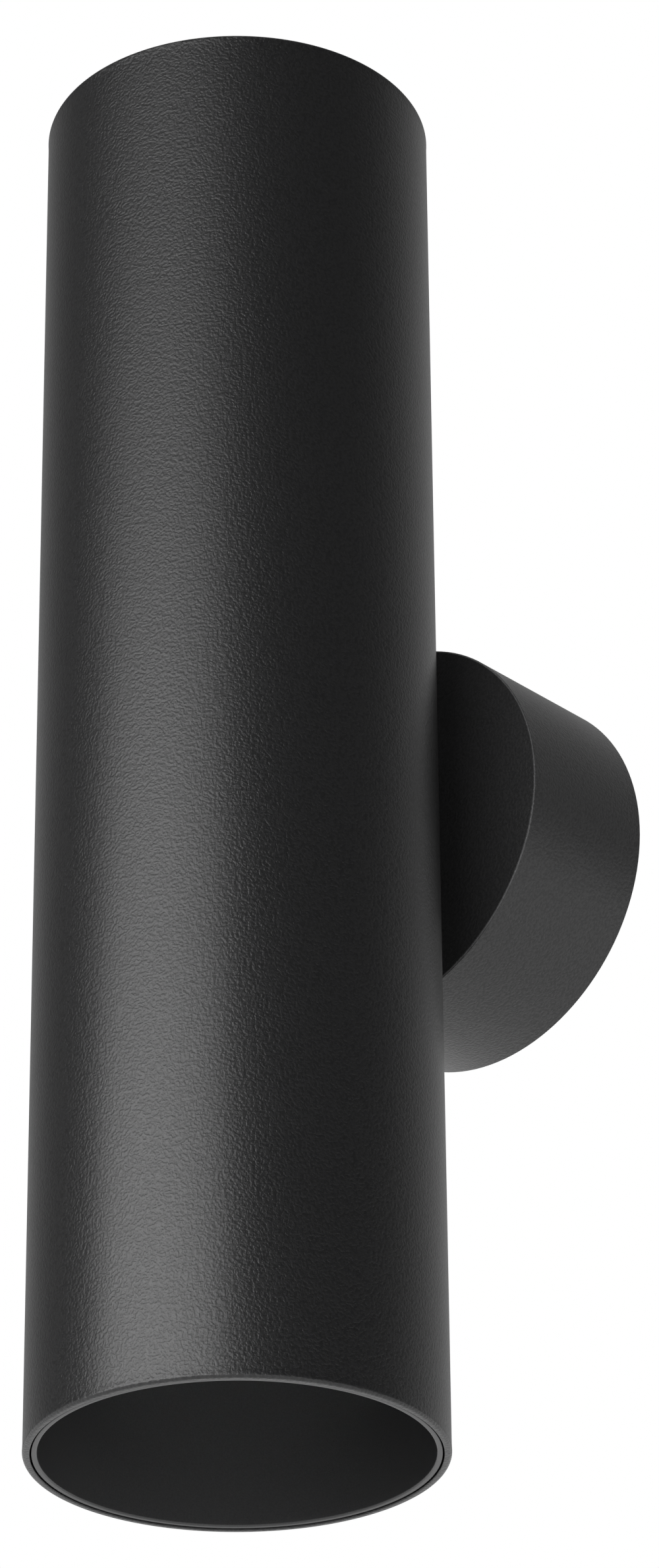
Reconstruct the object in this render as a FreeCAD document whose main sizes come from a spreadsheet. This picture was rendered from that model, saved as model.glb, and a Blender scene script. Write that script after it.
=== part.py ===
import FreeCAD, Part
import math
import operator
import os

import Sketcher
from FreeCAD import Placement, Rotation, Vector

# Tube wall light that shines up and down.
#
# An upright open tube holds a lamp at each end. One hollow threaded nipple clamps it to a round
# base, and two grub screws hold the base on a steel plate that is screwed to the wall.
#
# Frame, in millimetres: +Z is up, the wall is the plane Y = 0, and the light stands out from it
# towards -Y. The origin is the centre of the wall plate's back face. The tube's axis is upright,
# at X = 0. What serves the lower end is the upper end's piece turned half round about Y.

SIZES = {
    # Tube
    "tube_diameter": 60.0,
    "tube_wall": 1.1,
    "tube_length": 221.6,
    "tube_rim_round": 0.5,
    "tube_bore_round": 0.2,
    "tube_gap": 2.9,
    # Round base
    "base_diameter": 60.4,
    "base_depth": 25.1,
    "base_side_wall": 3.0,
    "base_front_wall": 2.4,
    "base_edge_chamfer": 0.25,
    "base_rim_chamfer": 0.3,
    # Hollow nipple and what it clamps
    "nipple_diameter": 10.0,
    "nipple_wall": 1.2,
    "nipple_end": 0.8,
    "nipple_hole_clearance": 0.2,
    "thread_clearance": 0.05,
    "nut_flats": 14.0,
    "nut_thickness": 4.0,
    "washer_diameter": 17.0,
    "washer_thickness": 1.0,
    "saddle_diameter": 20.0,
    "saddle_clearance": 0.05,
    "inner_saddle_thickness": 2.6,
    # Lamp bracket
    "bracket_width": 20.0,
    "bracket_thickness": 1.2,
    "bracket_bend": 1.5,
    "bracket_corner": 4.0,
    "shelf_height": 16.2,
    "shelf_margin": 4.5,
    "lead_hole_diameter": 10.0,
    # Lampholders
    "holder_diameter": 28.0,
    "holder_height": 16.0,
    "holder_round": 0.8,
    "holder_screw_pitch": 17.0,
    "holder_screw_diameter": 3.0,
    "holder_screw_grip": 6.0,
    "holder_head_diameter": 5.6,
    "holder_head_height": 1.9,
    "screw_hole_clearance": 0.2,
    "slot_angle": 35.0,
    "slot_clearance": 0.3,
    "contact_thickness": 0.5,
    "contact_length": 3.7,
    "contact_width": 3.0,
    "contact_dome": 0.4,
    "contact_dome_diameter": 2.0,
    "contact_gap": 0.3,
    "crimp_diameter": 2.6,
    "crimp_length": 3.5,
    "crimp_inset": 1.5,
    "crimp_clearance": 0.2,
    # Lamps
    "lamp_clearance": 3.9,
    "lamp_height": 47.0,
    "lamp_seat_gap": 0.2,
    "lamp_neck_diameter": 26.0,
    "lamp_neck_height": 15.0,
    "lamp_rim_height": 7.0,
    "lamp_wall": 1.4,
    "lamp_floor": 2.0,
    "lamp_rim_round": 0.6,
    "lens_inset": 1.7,
    "lens_thickness": 2.0,
    "lens_recess": 0.8,
    "lens_round": 0.5,
    "lens_clearance": 0.1,
    "lens_ledge": 2.2,
    "board_drop": 5.0,
    "board_thickness": 1.6,
    "board_ledge": 1.1,
    "led_pitch_diameter": 22.0,
    "led_size": 3.0,
    "led_height": 0.7,
    "pin_pitch": 10.0,
    "pin_length": 7.0,
    "pin_neck_diameter": 3.2,
    "pin_neck_length": 4.2,
    "pin_head_diameter": 5.0,
    "pin_head_chamfer": 0.5,
    # Anti-glare sleeves in the tube's mouths
    "sleeve_depth": 25.0,
    "sleeve_wall": 0.85,
    "sleeve_clearance": 0.2,
    "sleeve_recess": 0.2,
    "sleeve_rim_round": 0.3,
    # Grub screws
    "grub_diameter": 4.0,
    "grub_length": 5.0,
    "grub_recess": 0.5,
    "grub_set_back": 9.3,
    "grub_chamfer": 0.5,
    "grub_tip_gap": 0.05,
    "grub_socket_flats": 2.0,
    "grub_socket_depth": 2.5,
    # Wall plate and its grommet
    "plate_clearance": 0.4,
    "plate_thickness": 1.5,
    "plate_bend": 1.0,
    "tab_width": 14.0,
    "tab_margin": 3.0,
    "wall_slot_width": 4.5,
    "wall_slot_length": 9.0,
    "wall_slot_margin": 2.3,
    "cable_drop": 9.0,
    "cable_bore": 8.0,
    "grommet_wall": 2.0,
    "grommet_flange": 1.5,
    "grommet_flange_height": 2.0,
    "grommet_round": 0.7,
    "grommet_clearance": 0.05,
    # Terminal block
    "pad_thickness": 3.0,
    "block_clearance": 2.0,
    "block_nut_clearance": 1.65,
    "block_height": 13.0,
    "pole_pitch": 8.6,
    "barrel_height": 8.2,
    "barrel_diameter": 4.4,
    "barrel_bore": 2.6,
    "barrel_end_wall": 0.8,
    "barrel_clearance": 0.05,
    "clamp_screw_diameter": 2.6,
    "clamp_screw_inset": 1.75,
    "clamp_screw_tip": 0.6,
    "clamp_screw_sink": 0.7,
    "clamp_well_diameter": 4.0,
    "driver_slot": 0.6,
    "driver_slot_depth": 0.8,
    "block_screw_diameter": 3.0,
    "block_screw_grip": 4.0,
    "block_head_diameter": 5.5,
    "block_head_height": 1.8,
    "block_head_recess": 2.0,
    "block_head_clearance": 0.15,
    # Earth point
    "earth_angle": 50.0,
    "earth_inset": 8.8,
    "earth_boss_diameter": 8.0,
    "earth_boss_height": 5.0,
    "earth_screw_diameter": 4.0,
    "earth_screw_grip": 5.5,
    "earth_head_diameter": 7.0,
    "earth_head_height": 2.4,
    "tag_diameter": 8.0,
    "tag_thickness": 0.8,
    "tag_neck_width": 3.0,
    "tag_reach": 5.5,
    "tag_crimp_diameter": 3.0,
    "tag_crimp_length": 5.0,
    # Leads
    "lead_diameter": 1.5,
    "lead_spread": 1.5,
    "lead_rise": 1.3,
    "lead_stagger": 0.95,
    "lead_clearance": 0.2,
    "lead_splay": 3.0,
    "lead_bend": 8.5,
    "lead_entry_run": 1.6,
    "lead_entry_bend": 2.2,
    "earth_lead_run": 4.4,
    "earth_lead_bend": 3.6,
}

LED_COUNT = 6
POLES = (-1, 0, 1)
# The most of a lead's straight run that the bends at its two ends take up.
ROUTE_SHARE = 0.95
# How far a cutting solid runs past the face that it opens.
OVERCUT = 1.0
# How near two measures must be to count as the same, when an edge is looked for.
NEAR = 0.005
TURN_TO = {
    "+z": Rotation(),
    "-z": Rotation(Vector(1, 0, 0), 180),
    "+y": Rotation(Vector(1, 0, 0), -90),
    "-y": Rotation(Vector(1, 0, 0), 90),
}
END_TURN = {"upper": Rotation(), "lower": Rotation(Vector(0, 1, 0), 180)}
OPERATIONS = {"+": operator.add, "-": operator.sub, "*": operator.mul, "/": operator.truediv}


# ---------------------------------------------------------------- sizes tied to the sheet


class Size:
    """A number together with the sheet expression that gives it."""

    def __init__(self, value, text):
        self.value = value
        self.text = text

    def __add__(self, other):
        return combine(self, "+", other)

    def __radd__(self, other):
        return combine(other, "+", self)

    def __sub__(self, other):
        return combine(self, "-", other)

    def __rsub__(self, other):
        return combine(other, "-", self)

    def __mul__(self, other):
        return combine(self, "*", other)

    def __rmul__(self, other):
        return combine(other, "*", self)

    def __truediv__(self, other):
        return combine(self, "/", other)

    def __neg__(self):
        return combine(0, "-", self)


def as_size(amount):
    """A plain number as a Size, and a Size as it is."""
    return amount if isinstance(amount, Size) else Size(float(amount), f"({float(amount)})")


def combine(left, sign, right):
    """The Size that one operation makes of two amounts."""
    left = as_size(left)
    right = as_size(right)
    value = OPERATIONS[sign](left.value, right.value)
    return Size(value, f"({left.text} {sign} {right.text})")


def cosine(angle):
    """The cosine of an angle in degrees."""
    return Size(math.cos(math.radians(angle.value)), f"cos({angle.text})")


def sine(angle):
    """The sine of an angle in degrees."""
    return Size(math.sin(math.radians(angle.value)), f"sin({angle.text})")


def is_zero(amount):
    """Whether an amount is the plain number nought, which needs no tie to the sheet."""
    return not isinstance(amount, Size) and amount == 0


class Dimensions:
    """The driving sizes, each one an aliased cell of a spreadsheet."""

    def __init__(self, document):
        sheet = document.addObject("Spreadsheet::Sheet", "dims")
        for row, (name, value) in enumerate(SIZES.items(), start=1):
            sheet.set(f"A{row}", name)
            sheet.set(f"B{row}", str(value))
            sheet.setAlias(f"B{row}", name)
            setattr(self, name, Size(value, f"dims.{name}"))


doc = FreeCAD.newDocument("tube_wall_light")
dims = Dimensions(doc)
doc.recompute()
nodes = {}

# ---------------------------------------------------------------- places worked out from them

tube_radius = dims.tube_diameter / 2
tube_bore_radius = tube_radius - dims.tube_wall
tube_half = dims.tube_length / 2
axis_from_wall = dims.base_depth + dims.tube_gap + tube_radius
axis_y = -axis_from_wall

base_radius = dims.base_diameter / 2
base_bore_radius = base_radius - dims.base_side_wall
base_front_y = -dims.base_depth
base_floor_y = base_front_y + dims.base_front_wall

nipple_radius = dims.nipple_diameter / 2
nipple_bore_radius = nipple_radius - dims.nipple_wall
nipple_hole_radius = nipple_radius + dims.nipple_hole_clearance
thread_hole_radius = nipple_radius + dims.thread_clearance

# The clamped stack inside the base, from its front wall towards the wall.
base_nut_y = base_floor_y + dims.washer_thickness
nipple_back_y = base_nut_y + dims.nut_thickness + dims.nipple_end
# The clamped stack inside the tube, from its back wall towards the front.
tube_back_y = axis_y + tube_bore_radius
bracket_back_y = tube_back_y - dims.inner_saddle_thickness
bracket_front_y = bracket_back_y - dims.bracket_thickness
tube_nut_y = bracket_front_y - dims.washer_thickness
nipple_front_y = tube_nut_y - dims.nut_thickness - dims.nipple_end

holder_top = dims.shelf_height + dims.holder_height
lamp_seat = holder_top + dims.lamp_seat_gap
pin_radius = dims.pin_pitch / 2
pin_end_depth = dims.pin_length - dims.lamp_seat_gap
slot_lip = dims.pin_neck_length - dims.lamp_seat_gap - dims.slot_clearance
slot_depth = pin_end_depth + dims.contact_gap + dims.contact_dome + dims.contact_thickness
slot_floor = holder_top - slot_depth
crimp_x = pin_radius - dims.crimp_inset
crimp_end = slot_floor - dims.crimp_length

lamp_radius = tube_bore_radius - dims.lamp_clearance
lens_radius = lamp_radius - dims.lens_inset

sleeve_radius = tube_bore_radius - dims.sleeve_clearance
sleeve_top = tube_half - dims.sleeve_recess

grub_radius = dims.grub_diameter / 2
grub_y = base_front_y + dims.grub_set_back
grub_top = base_radius - dims.grub_recess
grub_tip = grub_top - dims.grub_length

plate_radius = base_bore_radius - dims.plate_clearance
tab_outside = grub_tip - dims.grub_tip_gap
tab_inside = tab_outside - dims.plate_thickness
tab_length = dims.tab_margin - grub_y
wall_slot_x = plate_radius - dims.wall_slot_margin - dims.wall_slot_length / 2

pad_y = base_floor_y + dims.pad_thickness
block_top = tab_inside - dims.block_clearance
block_bottom = dims.washer_diameter / 2 + dims.block_nut_clearance
block_middle = (block_top + block_bottom) / 2
block_width = dims.pole_pitch * len(POLES)
block_back_y = pad_y + dims.block_height
barrel_y = pad_y + dims.barrel_height
barrel_radius = dims.barrel_diameter / 2
barrel_bottom = block_bottom + dims.barrel_end_wall
barrel_length = block_top - dims.barrel_end_wall - barrel_bottom
clamp_screw_spread = barrel_length / 2 - dims.clamp_screw_inset

earth_radius = base_bore_radius - dims.earth_inset
earth_x = earth_radius * cosine(dims.earth_angle)
earth_z = -earth_radius * sine(dims.earth_angle)
boss_y = base_floor_y + dims.earth_boss_height
tag_crimp_y = boss_y + dims.tag_crimp_diameter / 2
tag_crimp_top = earth_z + dims.tag_reach + dims.tag_crimp_length


# ---------------------------------------------------------------- sketches and features


def bind(item, property_name, amount):
    """Ties one property of an object to the sheet."""
    item.setExpression(property_name, as_size(amount).text)


def place(item, x=0, y=0, z=0, turn=None):
    """Puts an object at a point that the sheet gives, turned as asked."""
    item.Placement = Placement(Vector(), turn or Rotation())
    for axis, amount in (("x", x), ("y", y), ("z", z)):
        if not is_zero(amount):
            bind(item, f"Placement.Base.{axis}", amount)
    return item


def name_node(item, label):
    """Makes an object the sub-part of that name."""
    item.Label = label
    nodes[label] = item
    return item


def new_body(name):
    """An empty body."""
    return doc.addObject("PartDesign::Body", name)


def new_sketch(body, plane_role, name, offset=0):
    """An empty sketch on one of the body's own planes, moved along its normal."""
    planes = [item for item in body.Origin.OriginFeatures if item.Role == plane_role]
    sketch = body.newObject("Sketcher::SketchObject", name)
    sketch.AttachmentSupport = (planes[0], [""])
    sketch.MapMode = "FlatFace"
    if not is_zero(offset):
        bind(sketch, "AttachmentOffset.Base.z", offset)
    return sketch


def pin_point(sketch, item, end, x, y):
    """Ties one point of a sketch to its two sizes."""
    for kind, axis, amount in (("DistanceX", -2, x), ("DistanceY", -1, y)):
        if is_zero(amount):
            sketch.addConstraint(Sketcher.Constraint("PointOnObject", item, end, axis))
        else:
            amount = as_size(amount)
            rule = Sketcher.Constraint(kind, -1, 1, item, end, amount.value)
            number = sketch.addConstraint(rule)
            sketch.setExpression(f"Constraints[{number}]", amount.text)


def draw_outline(sketch, corners):
    """Draws straight sides through the corners, round to the first, and ties each corner."""
    points = [Vector(as_size(x).value, as_size(y).value, 0) for x, y in corners]
    following = points[1:] + points[:1]
    sides = [sketch.addGeometry(Part.LineSegment(start, end), False)
             for start, end in zip(points, following)]
    for side, after in zip(sides, sides[1:] + sides[:1]):
        sketch.addConstraint(Sketcher.Constraint("Coincident", side, 2, after, 1))
    for side, (x, y) in zip(sides, corners):
        pin_point(sketch, side, 1, x, y)


def draw_box(sketch, left, right, low, high):
    """Draws an upright rectangle between two sides and two levels."""
    draw_outline(sketch, [(left, low), (right, low), (right, high), (left, high)])


def draw_circle(sketch, x, y, radius):
    """Draws a circle and ties its centre and radius."""
    centre = Vector(as_size(x).value, as_size(y).value, 0)
    radius = as_size(radius)
    item = sketch.addGeometry(Part.Circle(centre, Vector(0, 0, 1), radius.value), False)
    pin_point(sketch, item, 3, x, y)
    number = sketch.addConstraint(Sketcher.Constraint("Radius", item, radius.value))
    sketch.setExpression(f"Constraints[{number}]", radius.text)


def revolve(body, sketch):
    """Turns a sketch right round its own upright axis."""
    feature = body.newObject("PartDesign::Revolution", f"{sketch.Name}_turned")
    feature.Profile = sketch
    feature.ReferenceAxis = (sketch, ["V_Axis"])
    feature.Angle = 360
    doc.recompute()
    return feature


def extrude(kind, body, sketch, length, both_ways, reverse):
    """A pad or a pocket of a sketch."""
    feature = body.newObject(f"PartDesign::{kind}", f"{sketch.Name}_{kind.lower()}")
    feature.Profile = sketch
    feature.SideType = "Symmetric" if both_ways else "One side"
    feature.Reversed = reverse
    bind(feature, "Length", length)
    doc.recompute()
    return feature


def pad(body, sketch, length, both_ways=False, reverse=False):
    """Adds a sketch as a solid of that length."""
    return extrude("Pad", body, sketch, length, both_ways, reverse)


def pocket(body, sketch, length, both_ways=False, reverse=False):
    """Cuts a sketch out to that length."""
    return extrude("Pocket", body, sketch, length, both_ways, reverse)


def edges_where(feature, test):
    """The names of the feature's edges that pass a test."""
    numbered = enumerate(feature.Shape.Edges, start=1)
    return [f"Edge{number}" for number, edge in numbered if test(edge)]


def is_ring(edge, radius, level=None, axis="z"):
    """Whether an edge is a full circle of that radius, at that level along an axis."""
    if not isinstance(edge.Curve, Part.Circle) or not edge.isClosed():
        return False
    right_size = abs(edge.Curve.Radius - as_size(radius).value) < NEAR
    if level is None:
        return right_size
    return right_size and abs(getattr(edge.Curve.Center, axis) - as_size(level).value) < NEAR


def ease_edges(kind, body, feature, test, amount):
    """Rounds or chamfers the edges of a body that pass a test."""
    eased = body.newObject(f"PartDesign::{kind}", f"{feature.Name}_{kind.lower()}")
    eased.Base = (feature, edges_where(feature, test))
    bind(eased, "Radius" if kind == "Fillet" else "Size", amount)
    doc.recompute()
    return eased


# ---------------------------------------------------------------- simple solids


def cylinder(radius, length, x=0, y=0, z=0, along="+z"):
    """A cylinder from its end's centre, along an axis."""
    item = doc.addObject("Part::Cylinder", "cylinder")
    bind(item, "Radius", radius)
    bind(item, "Height", length)
    return place(item, x, y, z, TURN_TO[along])


def box(x_low, x_high, y_low, y_high, z_low, z_high):
    """A box between two limits along each axis."""
    item = doc.addObject("Part::Box", "box")
    bind(item, "Length", x_high - x_low)
    bind(item, "Width", y_high - y_low)
    bind(item, "Height", z_high - z_low)
    return place(item, x_low, y_low, z_low)


def hex_prism(flats, length, x=0, y=0, z=0, along="+z"):
    """A hexagonal prism of that width across its flats."""
    item = doc.addObject("Part::Prism", "prism")
    item.Polygon = 6
    bind(item, "Circumradius", flats / (2 * math.cos(math.pi / 6)))
    bind(item, "Height", length)
    return place(item, x, y, z, TURN_TO[along])


def fuse(*items):
    """The items joined into one solid."""
    joined = doc.addObject("Part::MultiFuse", "fusion")
    joined.Shapes = list(items)
    return joined


def cut(base, *tools):
    """The base less the tools."""
    result = doc.addObject("Part::Cut", "difference")
    result.Base = base
    result.Tool = tools[0] if len(tools) == 1 else fuse(*tools)
    return result


def common(first, second):
    """What two items share."""
    result = doc.addObject("Part::Common", "intersection")
    result.Base = first
    result.Tool = second
    return result


def group(items):
    """Alike solids kept apart in one sub-part."""
    together = doc.addObject("Part::Compound", "group")
    together.Links = list(items)
    return together


def turned_copy(base, item_turn):
    """A base's shape turned about the origin, as for the lower end."""
    item = doc.addObject("Part::Compound", "turned")
    item.Links = [base]
    item.Placement = Placement(Vector(), item_turn)
    return item


def inward_screw(diameter, grip, head_diameter, head_height, x, y, z):
    """A slotted pan-head screw whose head sits at a point and whose shank runs towards -Y."""
    shank = cylinder(diameter / 2, grip, x, y, z, "-y")
    head = cylinder(head_diameter / 2, head_height, x, y, z, "+y")
    top = y + head_height
    half = head_diameter / 2 + OVERCUT
    thin = dims.driver_slot / 2
    groove = box(x - half, x + half, top - dims.driver_slot_depth, top + OVERCUT,
                 z - thin, z + thin)
    return cut(fuse(shank, head), groove)


def upward_screw(diameter, grip, head_diameter, head_height, y, z):
    """A slotted pan-head screw at X = 0 whose head hangs at a level and whose shank runs up."""
    shank = cylinder(diameter / 2, grip, 0, y, z)
    head = cylinder(head_diameter / 2, head_height, 0, y, z, "-z")
    bottom = z - head_height
    half = head_diameter / 2 + OVERCUT
    thin = dims.driver_slot / 2
    groove = box(-half, half, y - thin, y + thin,
                 bottom - OVERCUT, bottom + dims.driver_slot_depth)
    return cut(fuse(shank, head), groove)


# ---------------------------------------------------------------- tube and base


def make_tube():
    """The upright tube: open at both ends, with one hole in its back for the nipple."""
    body = new_body("tube_body")
    wall = new_sketch(body, "XZ_Plane", "tube_wall_section")
    draw_box(wall, tube_bore_radius, tube_radius, -tube_half, tube_half)
    turned = revolve(body, wall)
    outer = ease_edges("Fillet", body, turned, lambda edge: is_ring(edge, tube_radius),
                       dims.tube_rim_round)
    ease_edges("Fillet", body, outer, lambda edge: is_ring(edge, tube_bore_radius),
               dims.tube_bore_round)
    hole = new_sketch(body, "XZ_Plane", "tube_nipple_hole")
    draw_circle(hole, 0, 0, nipple_hole_radius)
    pocket(body, hole, dims.tube_diameter)
    name_node(place(body, y=axis_y), "main_tube")


def make_base():
    """The round base: a cup open towards the wall, with a pad for the terminal block, a boss
    for the earth screw and a threaded hole for each grub screw."""
    body = new_body("base_body")
    section = new_sketch(body, "XY_Plane", "base_cup_section")
    draw_outline(section, [
        (0, base_front_y),
        (base_radius, base_front_y),
        (base_radius, 0),
        (base_bore_radius, 0),
        (base_bore_radius, base_floor_y),
        (0, base_floor_y),
    ])
    cup = revolve(body, section)
    edge = ease_edges("Chamfer", body, cup,
                      lambda ring: is_ring(ring, base_radius, base_front_y, "y"),
                      dims.base_edge_chamfer)
    ease_edges("Chamfer", body, edge,
               lambda ring: is_ring(ring, base_radius, 0, "y"), dims.base_rim_chamfer)

    seat = new_sketch(body, "XZ_Plane", "base_pad", -base_floor_y)
    draw_box(seat, -block_width / 2, block_width / 2, block_bottom, block_top)
    pad(body, seat, dims.pad_thickness, reverse=True)
    boss = new_sketch(body, "XZ_Plane", "base_boss", -base_floor_y)
    draw_circle(boss, earth_x, earth_z, dims.earth_boss_diameter / 2)
    pad(body, boss, dims.earth_boss_height, reverse=True)

    nipple_hole = new_sketch(body, "XZ_Plane", "base_nipple_hole", -base_floor_y)
    draw_circle(nipple_hole, 0, 0, nipple_hole_radius)
    pocket(body, nipple_hole, 2 * (dims.base_front_wall + OVERCUT), both_ways=True)
    pad_holes = new_sketch(body, "XZ_Plane", "base_pad_holes", -pad_y)
    for side in (-1, 1):
        draw_circle(pad_holes, side * dims.pole_pitch / 2, block_middle,
                    dims.block_screw_diameter / 2 + dims.thread_clearance)
    pocket(body, pad_holes, dims.block_screw_grip, reverse=True)
    earth_hole = new_sketch(body, "XZ_Plane", "base_earth_hole", -boss_y)
    draw_circle(earth_hole, earth_x, earth_z,
                dims.earth_screw_diameter / 2 + dims.thread_clearance)
    pocket(body, earth_hole, dims.earth_screw_grip - dims.tag_thickness, reverse=True)
    grub_holes = new_sketch(body, "XY_Plane", "base_grub_holes")
    draw_circle(grub_holes, 0, grub_y, grub_radius + dims.thread_clearance)
    pocket(body, grub_holes, dims.base_diameter + 2 * OVERCUT, both_ways=True)
    name_node(body, "base_canopy")


# ---------------------------------------------------------------- nipple and what it clamps


def make_nipple():
    """The hollow threaded nipple that carries the tube and lets the leads through."""
    length = nipple_back_y - nipple_front_y
    rod = cylinder(nipple_radius, length, y=nipple_front_y, along="+y")
    bore = cylinder(nipple_bore_radius, length + 2 * OVERCUT, y=nipple_front_y - OVERCUT,
                    along="+y")
    name_node(cut(rod, bore), "hollow_nipple")


def make_nuts_and_washers():
    """A hexagon nut and a washer at each end of the nipple."""
    nuts = []
    washers = []
    for nut_y, washer_y, along in ((base_nut_y, base_floor_y, "+y"),
                                   (tube_nut_y, bracket_front_y, "-y")):
        nut = hex_prism(dims.nut_flats, dims.nut_thickness, y=nut_y, along=along)
        thread = cylinder(thread_hole_radius, dims.nut_thickness, y=nut_y, along=along)
        nuts.append(cut(nut, thread))
        disc = cylinder(dims.washer_diameter / 2, dims.washer_thickness, y=washer_y, along=along)
        hole = cylinder(nipple_hole_radius, dims.washer_thickness, y=washer_y, along=along)
        washers.append(cut(disc, hole))
    name_node(group(nuts), "nipple_nuts")
    name_node(group(washers), "nipple_washers")


def make_saddles():
    """The outer saddle fills the gap between the base and the round back of the tube. The inner
    one gives the flat bracket a seat on the tube's round inside."""
    saddle_radius = dims.saddle_diameter / 2
    reach = dims.tube_gap + saddle_radius / 2
    height = dims.saddle_diameter + 2 * OVERCUT
    outer = cylinder(saddle_radius, reach, y=base_front_y, along="-y")
    hollow = cylinder(tube_radius + dims.saddle_clearance, height, y=axis_y, z=-height / 2)
    hole = cylinder(nipple_hole_radius, reach, y=base_front_y, along="-y")
    name_node(cut(outer, hollow, hole), "outer_saddle")

    thickness = dims.inner_saddle_thickness
    inner = cylinder(saddle_radius, thickness, y=bracket_back_y, along="+y")
    bore = cylinder(tube_bore_radius - dims.saddle_clearance, height, y=axis_y,
                    z=-height / 2)
    hole = cylinder(nipple_hole_radius, thickness, y=bracket_back_y, along="+y")
    name_node(cut(common(inner, bore), hole), "inner_saddle")


# ---------------------------------------------------------------- bracket and lampholders


def make_bracket():
    """The bent steel strip inside the tube: a web on the saddle and a shelf for each holder."""
    shelf_end_y = axis_y - dims.holder_screw_pitch / 2 - dims.shelf_margin
    outside = dims.shelf_height
    inside = outside - dims.bracket_thickness
    body = new_body("bracket_body")
    strip = new_sketch(body, "YZ_Plane", "bracket_strip")
    draw_outline(strip, [
        (shelf_end_y, outside),
        (bracket_back_y, outside),
        (bracket_back_y, -outside),
        (shelf_end_y, -outside),
        (shelf_end_y, -inside),
        (bracket_front_y, -inside),
        (bracket_front_y, inside),
        (shelf_end_y, inside),
    ])
    bent = pad(body, strip, dims.bracket_width, both_ways=True)

    def runs_along(edge, direction, y, z):
        """Whether an edge is straight, along that axis, at that depth and height."""
        if not isinstance(edge.Curve, Part.Line):
            return False
        middle = edge.CenterOfMass
        straight = abs(abs(edge.Curve.Direction.dot(direction)) - 1) < NEAR
        near = abs(middle.y - y.value) < NEAR and abs(abs(middle.z) - z.value) < NEAR
        return straight and near

    across = Vector(1, 0, 0)
    corner = ease_edges("Fillet", body, bent,
                        lambda edge: runs_along(edge, across, bracket_front_y, inside),
                        dims.bracket_bend)
    bend = ease_edges("Fillet", body, corner,
                      lambda edge: runs_along(edge, across, bracket_back_y, outside),
                      dims.bracket_bend + dims.bracket_thickness)
    upright = Vector(0, 0, 1)
    middle = (outside + inside) / 2
    ease_edges("Fillet", body, bend,
               lambda edge: runs_along(edge, upright, shelf_end_y, middle),
               dims.bracket_corner)

    web_hole = new_sketch(body, "XZ_Plane", "bracket_web_hole", -bracket_front_y)
    draw_circle(web_hole, 0, 0, nipple_hole_radius)
    pocket(body, web_hole, 2 * (dims.bracket_thickness + OVERCUT), both_ways=True)
    shelf_holes = new_sketch(body, "XY_Plane", "bracket_shelf_holes")
    draw_circle(shelf_holes, 0, axis_y, dims.lead_hole_diameter / 2)
    for side in (-1, 1):
        draw_circle(shelf_holes, 0, axis_y + side * dims.holder_screw_pitch / 2,
                    dims.holder_screw_diameter / 2 + dims.screw_hole_clearance)
    pocket(body, shelf_holes, 2 * (outside + OVERCUT), both_ways=True)
    name_node(body, "lamp_bracket")


def arc_slot(width, depth, level):
    """The room that a pin of that width needs as it turns about the lamp's axis: a bent slot
    with round ends, down from a level, for both pins."""
    pieces = []
    half = width / 2
    bottom = level - depth
    for start in (0, 180):
        sector = doc.addObject("Part::Cylinder", "sector")
        bind(sector, "Radius", pin_radius + half)
        bind(sector, "Height", depth)
        bind(sector, "Angle", dims.slot_angle)
        place(sector, z=bottom, turn=Rotation(Vector(0, 0, 1), start))
        core = cylinder(pin_radius - half, depth, z=bottom)
        pieces.append(cut(sector, core))
        side = 1 if start == 0 else -1
        pieces.append(cylinder(half, depth, side * pin_radius, 0, bottom))
        pieces.append(cylinder(half, depth, side * pin_radius * cosine(dims.slot_angle),
                               side * pin_radius * sine(dims.slot_angle), bottom))
    return pieces


def make_holder(end):
    """A two-pin lampholder. Each pin drops through a round hole, then turns under a lip."""
    body = new_body(f"{end}_holder_block")
    section = new_sketch(body, "XZ_Plane", f"{end}_holder_section")
    draw_box(section, 0, dims.holder_diameter / 2, dims.shelf_height, holder_top)
    block = revolve(body, section)
    ease_edges("Fillet", body, block,
               lambda edge: is_ring(edge, dims.holder_diameter / 2, holder_top),
               dims.holder_round)
    head_gap = dims.pin_head_diameter + 2 * dims.slot_clearance
    neck_gap = dims.pin_neck_diameter + 2 * dims.slot_clearance
    tools = arc_slot(neck_gap, slot_lip + OVERCUT, holder_top + OVERCUT)
    tools += arc_slot(head_gap, slot_depth - slot_lip, holder_top - slot_lip)
    for side in (-1, 1):
        tools.append(cylinder(head_gap / 2, slot_lip + OVERCUT,
                              side * pin_radius * cosine(dims.slot_angle),
                              side * pin_radius * sine(dims.slot_angle), holder_top - slot_lip))
        tools.append(cylinder(dims.crimp_diameter / 2 + dims.crimp_clearance,
                              slot_floor - dims.shelf_height + OVERCUT,
                              side * crimp_x, 0, dims.shelf_height - OVERCUT))
        tools.append(cylinder(dims.holder_screw_diameter / 2 + dims.thread_clearance,
                              dims.holder_screw_grip + OVERCUT, 0,
                              side * dims.holder_screw_pitch / 2,
                              dims.shelf_height - OVERCUT))
    holder = cut(body, *tools)
    name_node(place(holder, y=axis_y, turn=END_TURN[end]), f"{end}_lampholder")


def make_contacts(end):
    """The two brass contacts under a lamp's pins, each with a crimped tail for its lead."""
    pieces = []
    top = slot_floor + dims.contact_thickness
    for side in (-1, 1):
        inner = crimp_x - dims.crimp_inset / 2
        outer = inner + dims.contact_length
        low, high = (inner, outer) if side == 1 else (-outer, -inner)
        leaf = box(low, high, -dims.contact_width / 2, dims.contact_width / 2, slot_floor, top)
        dome = cylinder(dims.contact_dome_diameter / 2, dims.contact_dome,
                        side * pin_radius, 0, top)
        tail = cylinder(dims.crimp_diameter / 2, dims.crimp_length, side * crimp_x, 0, crimp_end)
        pieces.append(fuse(leaf, dome, tail))
    contacts = group(pieces)
    name_node(place(contacts, y=axis_y, turn=END_TURN[end]), f"{end}_holder_contacts")


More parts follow.
